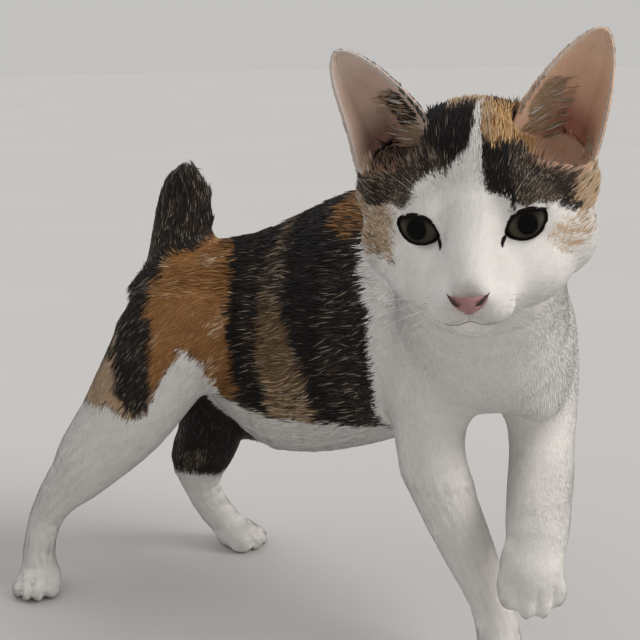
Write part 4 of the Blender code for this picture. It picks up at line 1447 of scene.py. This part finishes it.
@dataclass(frozen=True)
class Eyes:
    """The eyeballs, the dark rims of their lids and the dark lines below their inner corners.

    Attributes:
        bulge: How far the clear front stands out of the ball.
        front: Where the clear front starts, as a share of the ball's radius.
        rim_lift: How far the rim's middle lies off the ball.
        rim_radius: Thickness of the lid's rim.
        rim_points: Points round a rim.
    """

    bulge: float = 0.0006
    front: float = 0.72
    rim_lift: float = 0.0009
    rim_radius: float = 0.00085
    rim_points: int = 72

    def build(self, skin: Skin) -> None:
        """Build both eyes, their rims and the lines on the skin below them."""
        eye_finish = EyeFinish().material()
        shape = bmesh.new()
        shape.from_mesh(skin.item.data)
        tree = BVHTree.FromBMesh(shape)
        shape.free()
        rim_finish = FleshFinish("lid rim", (0.010, 0.007, 0.006), (0.004, 0.003, 0.003), 0.6, shine=0.1)
        for side in Side:
            self._ball(side, eye_finish)
            self._rim(side, rim_finish.material())
            self._tear_line(side, tree, rim_finish.material())

    def _ball(self, side: Side, material: bpy.types.Material) -> None:
        """Make one eyeball with its front swollen."""
        shape = bmesh.new()
        bmesh.ops.create_uvsphere(shape, u_segments=48, v_segments=32, radius=EYE_RADIUS)
        upright = Matrix.Rotation(math.radians(90.0), 3, "X")
        bmesh.ops.rotate(shape, cent=(0, 0, 0), matrix=upright, verts=shape.verts)
        for vert in shape.verts:
            rise = max(0.0, -vert.co.y / EYE_RADIUS - self.front) / (1.0 - self.front)
            vert.co *= 1.0 + self.bulge / EYE_RADIUS * rise * rise * (3.0 - 2.0 * rise)
        name = f"eyeball_{side.word}"
        item = add_object(name, smooth_mesh(name, shape), material)
        turn = Matrix.Rotation(math.radians(EYE_OUTWARD * side.value), 4, "Z")
        item.matrix_world = HEAD.matrix @ Matrix.Translation(eye_centre(side)) @ turn
        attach(item, "root")
        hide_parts(f"eye_{side.word}")

    def _rim(self, side: Side, material: bpy.types.Material) -> None:
        """Make the dark rim on the ball's surface, thicker above."""
        reach = EYE_RADIUS + self.rim_lift
        path = [self._on_ball(x, z, reach, side) for x, z in rim_outline(self.rim_points)]
        turns = [2.0 * math.pi * k / self.rim_points for k in range(self.rim_points)]
        radii = [self.rim_radius * (1.05 + 0.25 * math.sin(turn)) for turn in turns]
        add_object(f"lid_rim_{side.word}", tube("lid rim", path, radii, 8, True), material)

    def _tear_line(self, side: Side, tree: BVHTree, material: bpy.types.Material) -> None:
        """Make the dark line that runs down the skin from an eye's inner corner."""
        corner = min(rim_outline(self.rim_points))
        way = HEAD.matrix.to_3x3() @ Vector((0.0, 1.0, 0.0))
        path = []
        for dx, dz in ((0.0010, 0.0008), (0.0002, -0.0002), (-0.0002, -0.0012), (-0.0001, -0.0022)):
            start = HEAD.matrix @ Vector(((corner[0] + dx) * side.value, -0.06, corner[1] + dz))
            path.append(tree.ray_cast(start, way)[0] - way * 0.0007)
        line = tube("tear line", path, [0.0008, 0.0008, 0.0006, 0.0002], 8, False)
        add_object(f"tear_line_{side.word}", line, material)

    @staticmethod
    def _on_ball(x: float, z: float, reach: float, side: Side) -> Vector:
        """Return the scene's place of a point over the eyeball, from its place on the left eye."""
        across, up = x - EYE_CENTRE[0], z - EYE_CENTRE[2]
        depth = math.sqrt(max(reach ** 2 - across ** 2 - up ** 2, 1e-7))
        return HEAD.matrix @ Vector((x * side.value, EYE_CENTRE[1] - depth, z))


@dataclass(frozen=True)
class EarColours:
    """Colours of one ear.

    Attributes:
        inside: The bare inner skin.
        rim: The inner skin near the tip and the edge.
        painted_canal_shade: Dark colour near the base, painted shade of the ear's opening.
        back: The hair on the ear's back.
        fold: The hair along the lower part of the inner edge.
    """

    inside: Colour
    rim: Colour
    painted_canal_shade: Colour
    back: Pigment
    fold: Pigment


@dataclass(frozen=True)
class EarHair:
    """One kind of hair on an ear.

    Attributes:
        face: 1 for the inner face and -1 for the back.
        way: How far it lies to the tip and to the outer edge, or away from the edge's middle.
        length: Its length.
        lift: The angle at which it stands.
        slim: Its width as a share of the usual one.
    """

    face: float
    way: tuple[float, float]
    length: float
    lift: float
    slim: float = 1.0


BACK_HAIR = EarHair(-1.0, (1.0, 0.10), 0.0024, 7.0)
EDGE_FRINGE = EarHair(1.0, (1.0, 0.35), 0.0014, 8.0)
FOLD_FRINGE = EarHair(-1.0, (0.9, -0.6), 0.0040, 12.0)
FOLD_HAIR = EarHair(1.0, (0.7, 0.6), 0.0048, 14.0, 0.4)
INNER_DOWN = EarHair(1.0, (0.9, 0.2), 0.0011, 6.0, 0.6)
INNER_LONG = EarHair(1.0, (0.60, 0.80), 0.0110, 15.0, 0.12)
OUTER_LONG = EarHair(1.0, (0.9, -0.4), 0.0070, 15.0, 0.16)


@dataclass(frozen=True)
class Ear:
    """One cupped ear, furred outside and along its edges, and nearly bare inside.

    Attributes:
        side: The side of the head.
        colours: Its colours.
        root: How far the ear runs on into the head, as a share of its height.
        breadth: Its width as a share of the solid's.
        pinch: How much narrower its outer half is at half height.
        depth: Depth of the cup.
        thickness: Thickness of the shell.
        rows: Rows from root to tip.
        columns: Columns from edge to edge.
    """

    side: Side
    colours: EarColours
    root: float = 0.35
    breadth: float = 0.93
    pinch: float = 0.0
    depth: float = 0.0150
    thickness: float = 0.0012
    rows: int = 60
    columns: int = 48

    def surface(self, s: Array, t: Array) -> Array:
        """Return points of the middle surface, s from base to tip and t from inner to outer edge."""
        rise = np.clip(s, 0.0, 1.0)
        width = np.maximum(1.0 - rise ** 1.25, 0.0) ** 0.56
        fold = 0.0010 * bell(t, 0.30, 0.14) + 0.0008 * bell(t, -0.25, 0.10)
        cup = self.depth * (1.0 - t * t) * (1.0 - rise) ** 0.8 + fold * (1.0 - rise) * (s > -0.3)
        base, tip = np.array(EAR_BASE), np.array(EAR_TIP)
        across = t * width * self.breadth * (1.0 - self.pinch * np.sin(math.pi * rise) * (t > 0.0))
        local = base + (tip - base) * s[:, None] + np.array(EAR_HALF_BASE) * across[:, None]
        local = local + np.array(EAR_CUP_WAY) * cup[:, None]
        local[:, 0] *= self.side.value
        return HEAD.placed(local)

    def frame(self, s: Array, t: Array) -> tuple[Array, Array, Array]:
        """Return the normals of the inner face, the way to the tip and the way to the outer edge."""
        up = unit(self.surface(s + 0.01, t) - self.surface(s - 0.01, t))
        out = unit(self.surface(s, t + 0.01) - self.surface(s, t - 0.01))
        normal = unit(np.cross(up, out))
        front = HEAD.outward(np.array(((-EAR_CUP_WAY[0] * self.side.value, -EAR_CUP_WAY[1], 0.0),)))[0]
        normal *= np.sign(normal @ front)[:, None]
        return normal, up, out

    def build(self, skin_material: bpy.types.Material, hair: bpy.types.Material) -> None:
        """Build the shell and its hair."""
        rises = np.sin(0.5 * math.pi * np.linspace(0.0, 1.0, self.rows + 1))
        rises = -self.root + (0.9995 + self.root) * rises
        s, t, faces = grid(rises, np.linspace(-1.0, 1.0, self.columns + 1))
        mesh = mesh_of(f"ear_{self.side.word}_cup", self.surface(s, t), faces)
        paint(mesh, self._tint(s, t))
        unwrap(mesh, faces, self._mapped(s, t))
        item = add_object(mesh.name, mesh, skin_material)
        thicken(item, self.thickness, 0.0)
        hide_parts(f"ear_{self.side.word}")
        self._hair(hair)

    def _mapped(self, s: Array, t: Array) -> Array:
        """Return the places on the unwrap."""
        return np.stack((0.5 + 0.45 * t, 0.05 + 0.9 * (s + self.root) / (1.0 + self.root)), axis=1)

    def _tint(self, s: Array, t: Array) -> Array:
        """Return the inner skin's colours: darker near the base as painted shade of the ear's opening, and
        paler towards tip and edge.
        """
        # Painted shade: the inner skin darkens towards the base, where the ear opens into the head.
        hollow_shade = (1.0 - ramp(s, 0.16, 0.40)) * (1.0 - ramp(np.abs(t - 0.15), 0.60, 0.5))
        edge = np.clip(ramp(s, 0.75, 0.5) + ramp(np.abs(t), 0.85, 0.3) * 0.6, 0.0, 1.0)
        blotch = 0.5 + 0.5 * value_noise(self.surface(s, t), 0.006, SEED + 19)
        colour = np.array(self.colours.inside) * (0.88 + 0.16 * blotch)[:, None]
        colour = colour * (1.0 - edge[:, None]) + np.array(self.colours.rim) * edge[:, None]
        return colour * (1.0 - hollow_shade[:, None]) + np.array(self.colours.painted_canal_shade) * hollow_shade[:, None]

    def _hair(self, material: bpy.types.Material) -> None:
        """Grow the hair of the back, the edges' fringe, the inner down and the long inner hairs."""
        random = np.random.default_rng(SEED + (1 if self.side is Side.LEFT else 2))
        draw = random.uniform
        colours = self.colours
        s, t = draw(-0.15, 0.985, 11000), draw(-1.0, 1.0, 11000)
        dark = (random.random(len(s)) > ramp(t, 0.72, 0.3) + ramp(s, 0.86, 0.2)).astype(float)
        parts = [self._patch(s, t, BACK_HAIR, colours.back, dark, random)]
        s, t = draw(-0.1, 0.99, 2600), np.sign(draw(-1.0, 1.0, 2600)) * draw(0.95, 1.0, 2600)
        parts.append(self._patch(s, t, EDGE_FRINGE, Pigment.WHITE, 0.0, random))
        s, t = draw(-0.1, 0.62, 1600), draw(-1.0, -0.90, 1600)
        parts.append(self._patch(s, t, FOLD_FRINGE, colours.fold, 1.0, random))
        s, t = draw(-0.15, 0.34, 600) * draw(0.6, 1.0, 600), draw(-0.95, -0.58, 600)
        parts.append(self._patch(s, t, FOLD_HAIR, colours.fold, 1.0, random))
        s, t = draw(-0.1, 0.97, 3600), draw(-0.94, 0.94, 3600)
        parts.append(self._patch(s, t, INNER_DOWN, Pigment.TAN, 1.0, random))
        s, t = -0.30 + 0.62 * random.random(130) ** 1.6, -0.88 + 0.50 * random.random(130) ** 1.5
        warm = (random.random(130) < 0.85).astype(float)
        parts.append(self._patch(s, t, INNER_LONG, Pigment.TAN, warm, random))
        s, t = draw(-0.30, 0.0, 40), draw(0.62, 0.90, 40)
        parts.append(self._patch(s, t, OUTER_LONG, Pigment.TAN, warm[:40], random))
        names = [item.name for item in fields(Tufts)]
        joined = Tufts(**{name: np.concatenate([getattr(part, name) for part in parts]) for name in names})
        item = joined.grow(f"ear_{self.side.word}_hair", material, random)

    def _patch(self, s: Array, t: Array, kind: EarHair, pigment: Pigment, mixed: Array | float,
               random: np.random.Generator) -> Tufts:
        """Spread tufts on one face of the shell.

        Args:
            s: The roots' rows.
            t: The roots' columns.
            kind: The kind of hair.
            pigment: Its pigment where mixed is 1; it is white where mixed is 0.
            mixed: 1 or 0 for each root, or for all.
            random: The source of random numbers.

        Returns:
            The tufts.
        """
        normal, up, out = self.frame(s, t)
        place = self.surface(s, t) + normal * (kind.face * self.thickness * 0.5)
        outward = np.where(np.abs(t) > 0.92, np.sign(t), 1.0)[:, None]
        flow = up * kind.way[0] + out * kind.way[1] * outward
        normal = normal * kind.face
        flow = unit(flow - normal * np.sum(flow * normal, axis=1, keepdims=True))
        count = len(s)
        coloured = np.broadcast_to(mixed, count)[:, None] > 0.5
        base, tip = (np.where(coloured, pigment.value[k], Pigment.WHITE.value[k]) for k in (ROOT, TIP))
        shade = 1.0 + 0.25 * (random.random((count, 1)) - 0.5)
        lengths = kind.length * (1.0 - 0.45 * np.clip(s, 0.0, 1.0)) * (0.75 + 0.35 * random.random(count))
        width = (0.00012 + 0.030 * np.minimum(lengths, 0.005)) * kind.slim
        return Tufts(place, normal, flow, lengths, width, np.full(count, kind.lift), np.full(count, 0.16),
                     base * shade, tip * shade, self._mapped(s, t))


@dataclass(frozen=True)
class Nose:
    """The nose leather, the nostrils with their painted shade, and the line of the mouth, which also paints
    the shadow in its crease.

    Attributes:
        rows: Rows of the leather from its upper edge to its foot.
        columns: Columns from side to side.
        thickness: Thickness of the leather.
        front: How far forward the leather's middle stands in the head's frame.
        comma: Points of the left nostril, which curls out and up to the leather's upper corner.
        comma_radii: Half the nostril's width at each of them.
        cleft: Points of the line under the nose.
        lips: Points of the left half of the mouth's line.
        line_radii: Half the width of both lines at their middles and at their ends.
    """

    rows: int = 30
    columns: int = 44
    thickness: float = 0.0018
    front: float = -0.0330
    comma: tuple[Place, ...] = ((0.0030, -0.0330, -0.0213), (0.0044, -0.0323, -0.0208),
                                (0.0058, -0.0309, -0.0198), (0.0070, -0.0293, -0.0188),
                                (0.0078, -0.0281, -0.0180))
    comma_radii: tuple[float, ...] = (0.00025, 0.00062, 0.00058, 0.00036, 0.00012)
    cleft: tuple[Place, ...] = ((0.0, -0.0314, -0.0254), (0.0, -0.0308, -0.0266), (0.0, -0.0296, -0.0284))
    lips: tuple[Place, ...] = ((0.0, -0.0296, -0.0284), (0.0045, -0.0292, -0.0300),
                               (0.0085, -0.0272, -0.0307), (0.0120, -0.0240, -0.0305))
    line_radii: tuple[float, float] = (0.00026, 0.00008)

    def build(self) -> None:
        """Build the leather, the mouth line that also paints the mouth's shadow, and the nostrils' dark
        commas of painted shade.
        """
        pink = FleshFinish("nose leather", (0.40, 0.215, 0.205), (0.27, 0.130, 0.128), 0.5, 2600.0, 0.00010)
        self._leather(pink.material())
        # These lines are partly the lips' own colour and partly painted shadow of the mouth's crease.
        lip_and_shadow = FleshFinish("lip_and_shadow", (0.38, 0.31, 0.29), (0.28, 0.22, 0.20), 0.7, shine=0.1)
        self._mouth(lip_and_shadow.material())
        # The nostrils' dark commas are painted shade of their openings.
        self._nostril_shadows(FleshFinish("nostril", (0.035, 0.016, 0.015), (0.015, 0.008, 0.008), 0.6).material())

    def _leather(self, material: bpy.types.Material) -> None:
        """Make the rounded triangle, hollow at its nostrils and its cleft."""
        v, u, faces = grid(np.linspace(0.0, 1.0, self.rows + 1), np.linspace(-1.0, 1.0, self.columns + 1))
        half = NOSE_HALF_WIDTH * (1.0 - v) ** NOSE_TAPER * (0.85 + 0.15 * np.sin(math.pi * v)) + 0.0006
        z = NOSE_TOP - NOSE_HEIGHT * v - 0.0009 * (u * u) * (1.0 - v) + 0.0006 * (1.0 - v)
        y = self.front + 0.0050 * u * u * (1.0 - v) ** 0.5 + 0.0064 * (v - 0.35) ** 2
        nostril = np.exp(-(((np.abs(u) - 0.60) / 0.20) ** 2 + ((v - 0.36 - 0.1 * np.abs(u)) / 0.13) ** 2))
        cleft = bell(u, 0.0, 0.07) * np.maximum(0.0, v - 0.3)
        y = y + 0.0020 * nostril + 0.0007 * cleft
        places = HEAD.placed(np.stack((half * u, y, z), axis=1))
        item = add_object("nose_leather", mesh_of("nose leather", places, faces[:, (0, 3, 2, 1)]), material)
        thicken(item, self.thickness, -1.0)

    def _nostril_shadows(self, material: bpy.types.Material) -> None:
        """Make the dark commas of the nostrils: painted shade inside their openings."""
        for side in Side:
            path = [HEAD.matrix @ Vector((x * side.value, y, z)) for x, y, z in self.comma]
            add_object(f"nostril_{side.word}", tube("nostril", path, self.comma_radii, 8, False), material)

    def _mouth(self, material: bpy.types.Material) -> None:
        """Make the cleft under the nose and the lips' line, in the lips' colour, which also paints the shadow
        in their creases.
        """
        thick, thin = self.line_radii
        mirrored = tuple((-x, y, z) for x, y, z in self.lips[:0:-1])
        for name, points in (("mouth_cleft", self.cleft), ("mouth_line", mirrored + self.lips)):
            path = [HEAD.matrix @ Vector(point) for point in points]
            off = [abs(2.0 * k / (len(path) - 1) - 1.0) for k in range(len(path))]
            radii = [thick - (thick - thin) * share for share in off]
            add_object(name, tube(name, path, radii, 8, False), material)


@dataclass(frozen=True)
class Whiskers:
    """The fine white whiskers of the muzzle and the brows.

    Attributes:
        rows: Whiskers of one muzzle pad, as (out, forward, up, droop, length).
        brows: Whiskers over one eye, in the same way.
        radius: Thickness at the root.
        steps: Steps from root to tip.
    """

    rows: tuple[tuple[float, ...], ...] = (
        (0.0100, -0.0265, -0.0235, -0.10, 0.024), (0.0130, -0.0240, -0.0225, 0.02, 0.028),
        (0.0155, -0.0205, -0.0220, 0.10, 0.026), (0.0105, -0.0260, -0.0262, -0.32, 0.025),
        (0.0140, -0.0225, -0.0258, -0.20, 0.030), (0.0165, -0.0185, -0.0250, -0.08, 0.028),
        (0.0120, -0.0235, -0.0288, -0.50, 0.022))
    brows: tuple[tuple[float, ...], ...] = (
        (0.0170, -0.0010, 0.0105, 1.6, 0.017), (0.0200, 0.0010, 0.0110, 1.2, 0.020))
    radius: float = 0.00011
    steps: int = 6

    def build(self, material: bpy.types.Material) -> None:
        """Build all the whiskers of each side as one piece."""
        for side in Side:
            joined = bmesh.new()
            for row, (out, forward, up, droop, length) in enumerate(self.rows + self.brows):
                start = Vector((out, forward, up))
                way = Vector((1.0, -0.10, droop)).normalized()
                root = self.radius * (1.0 if row < len(self.rows) else 0.55)
                path, radii = [], []
                for share in (step / self.steps for step in range(self.steps + 1)):
                    bend = Vector((0.0, 0.10, -0.22)) * (share * share * length)
                    point = start + way * (share * length) + bend
                    path.append(HEAD.matrix @ Vector((point.x * side.value, point.y, point.z)))
                    radii.append(root * (1.0 - 0.85 * share))
                take_in(joined, tube("whisker", path, radii, 3, False))
            name = f"whiskers_{side.word}"
            add_object(name, smooth_mesh(name, joined), material)


@dataclass(frozen=True)
class PawDetails:
    """The claws of every paw and the pads of the raised one.

    Attributes:
        toes: The toes' middles across and along the paw, in its own steps.
        claw: Points of a claw from its root to its tip, as (along, up) from the toe's middle.
        claw_radii: Half the claw's thickness at each of them.
        drawn: How far the claws of a standing paw are drawn in.
        drawn_raised: How far those of the raised paw are.
    """

    toes: tuple[tuple[float, float], ...] = ((-1.08, -1.38), (-0.37, -1.84), (0.37, -1.84), (1.08, -1.38))
    claw: Profile = ((0.40, 0.60), (0.14, 0.52), (0.03, 0.36))
    claw_radii: tuple[float, ...] = (0.0007, 0.0006, 0.00012)
    drawn: float = 0.06
    drawn_raised: float = 0.24

    def build(self, horn: bpy.types.Material, pad: bpy.types.Material) -> None:
        """Build them all."""
        for paw in PAWS:
            joined = bmesh.new()
            for across, along in self.toes:
                toe = along + (self.drawn_raised if paw is RAISED else self.drawn)
                path = [paw.matrix @ Vector((across * paw.step, (toe + behind) * paw.step, up * paw.step))
                        for behind, up in self.claw]
                take_in(joined, tube("claw", path, self.claw_radii, 6, False))
            name = f"claws_{paw.node.value[4:]}"
            add_object(name, smooth_mesh(name, joined), horn)
        self._pads(RAISED, pad)

    def _pads(self, paw: Paw, material: bpy.types.Material) -> None:
        """Make the sole pad and the toe pads of one paw."""
        shape = bmesh.new()
        forms = [((0.0, 0.05, 0.06), (0.62, 0.55, 0.24))]
        forms += [((across * 0.86, along + 0.70, 0.14), (0.26, 0.36, 0.20)) for across, along in self.toes]
        for centre, radii in forms:
            placing = paw.matrix @ Matrix.Translation(Vector(centre) * paw.step)
            add_ball(shape, placing, [radius * paw.step for radius in radii], 20, 12)
        name = "paw_pads_front_left"
        add_object(name, smooth_mesh(name, shape), material)


@dataclass(frozen=True)
class Lamp:
    """A broad soft lamp far away.

    Attributes:
        name: Its name.
        place: Where it hangs.
        power: Its strength.
        angle: How broad it looks from the cat, in degrees.
        colour: Its colour.
    """

    name: str
    place: Place
    power: float
    angle: float
    colour: Colour

    def build(self) -> None:
        """Hang the lamp and turn it to the cat."""
        data = bpy.data.lights.new(self.name, "SUN")
        data.energy = self.power
        data.angle = math.radians(self.angle)
        data.color = self.colour
        turn = (-Vector(self.place)).to_track_quat("-Z", "Y").to_matrix().to_4x4()
        link(self.name, data).matrix_world = Matrix.Translation(self.place) @ turn


@dataclass(frozen=True)
class Studio:
    """The floor, the lights and the camera at the photograph's angle.

    Attributes:
        camera_place: Where the camera is.
        azimuth: Its heading in degrees.
        tilt: How far it looks down, in degrees.
        roll: Its roll in degrees.
        lens: Focal length in millimetres.
        sensor: Width of the sensor in millimetres.
        lamps: The key light and the weaker light from the other side.
        air: Strength of the light from all round.
        air_colour: Its colour.
        floor_radius: How far the floor reaches.
    """

    camera_place: Place = (-0.2888, -0.5134, 0.331)
    azimuth: float = -29.5
    tilt: float = 14.0
    roll: float = -1.0
    lens: float = 67.5
    sensor: float = 36.0
    lamps: tuple[Lamp, ...] = (Lamp("key", (0.80, -0.88, 0.86), 1.95, 40.0, (1.0, 0.965, 0.92)),
                               Lamp("fill", (-0.8, 0.9, 1.1), 0.35, 60.0, (0.95, 0.97, 1.0)))
    air: float = 0.54
    air_colour: Colour = (1.0, 0.985, 0.965)
    floor_radius: float = 8.0

    def build(self) -> None:
        """Set up the whole studio."""
        self._camera()
        self._floor()
        for lamp in self.lamps:
            lamp.build()
        world = bpy.data.worlds.new("studio air")
        world.use_nodes = True
        background = world.node_tree.nodes["Background"]
        background.inputs["Color"].default_value = (*self.air_colour, 1.0)
        background.inputs["Strength"].default_value = self.air
        bpy.context.scene.world = world
        bpy.context.scene.view_settings.view_transform = "Standard"

    def _camera(self) -> None:
        """Place the camera."""
        data = bpy.data.cameras.new("camera")
        data.lens = self.lens
        data.sensor_width = self.sensor
        data.clip_start = 0.01
        camera = link("camera", data)
        turn = Matrix.Rotation(math.radians(self.azimuth), 4, "Z")
        tip = Matrix.Rotation(math.radians(90.0 - self.tilt), 4, "X")
        roll = Matrix.Rotation(math.radians(self.roll), 4, "Z")
        camera.matrix_world = Matrix.Translation(self.camera_place) @ turn @ tip @ roll
        bpy.context.scene.camera = camera

    def _floor(self) -> None:
        """Lay the plain pale floor."""
        shape = bmesh.new()
        bmesh.ops.create_circle(shape, cap_ends=True, segments=96, radius=self.floor_radius)
        mesh = smooth_mesh("floor", shape)
        finish = Finish("floor", roughness=0.8, specular_ior_level=0.15)
        cloud = finish.noise(3.0, 2.0)
        finish.set("Base Color", finish.mix(cloud, (0.56, 0.555, 0.55), (0.60, 0.595, 0.59)))
        mesh.materials.append(finish.material)
        link("floor", mesh)


RIGHT_EAR = EarColours((0.62, 0.45, 0.37), (0.69, 0.57, 0.50), (0.24, 0.125, 0.10),
                       Pigment.BLACK, Pigment.TABBY)
LEFT_EAR = EarColours((0.75, 0.47, 0.33), (0.78, 0.55, 0.41), (0.36, 0.14, 0.10),
                      Pigment.BUFF, Pigment.TAN)


def main() -> None:
    """Load the frame, build every piece and note the sizes."""
    logging.basicConfig(level=logging.INFO, format="%(message)s")
    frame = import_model()
    skin = Skin()
    skin.build(frame["nodes"], HairFinish("skin", 0.75, 0.0002))
    fur = HairFinish("fur", 0.62, 0.00005).material()
    Coat().build(skin, Markings(), fur)
    Eyes().build(skin)
    ear_skin = HairFinish("ear skin", 0.6, 0.0001).material()
    Ear(Side.LEFT, LEFT_EAR).build(ear_skin, fur)
    Ear(Side.RIGHT, RIGHT_EAR, pinch=0.16).build(ear_skin, fur)
    Nose().build()
    Whiskers().build(FleshFinish("whisker", (0.80, 0.78, 0.75), (0.70, 0.68, 0.65), 0.4).material())
    horn = FleshFinish("claw", (0.50, 0.40, 0.33), (0.30, 0.22, 0.18), 0.35).material()
    pad = FleshFinish("toe pad", (0.42, 0.20, 0.18), (0.30, 0.13, 0.12), 0.6).material()
    PawDetails().build(horn, pad)
    Studio().build()


if __name__ == "__main__":
    main()
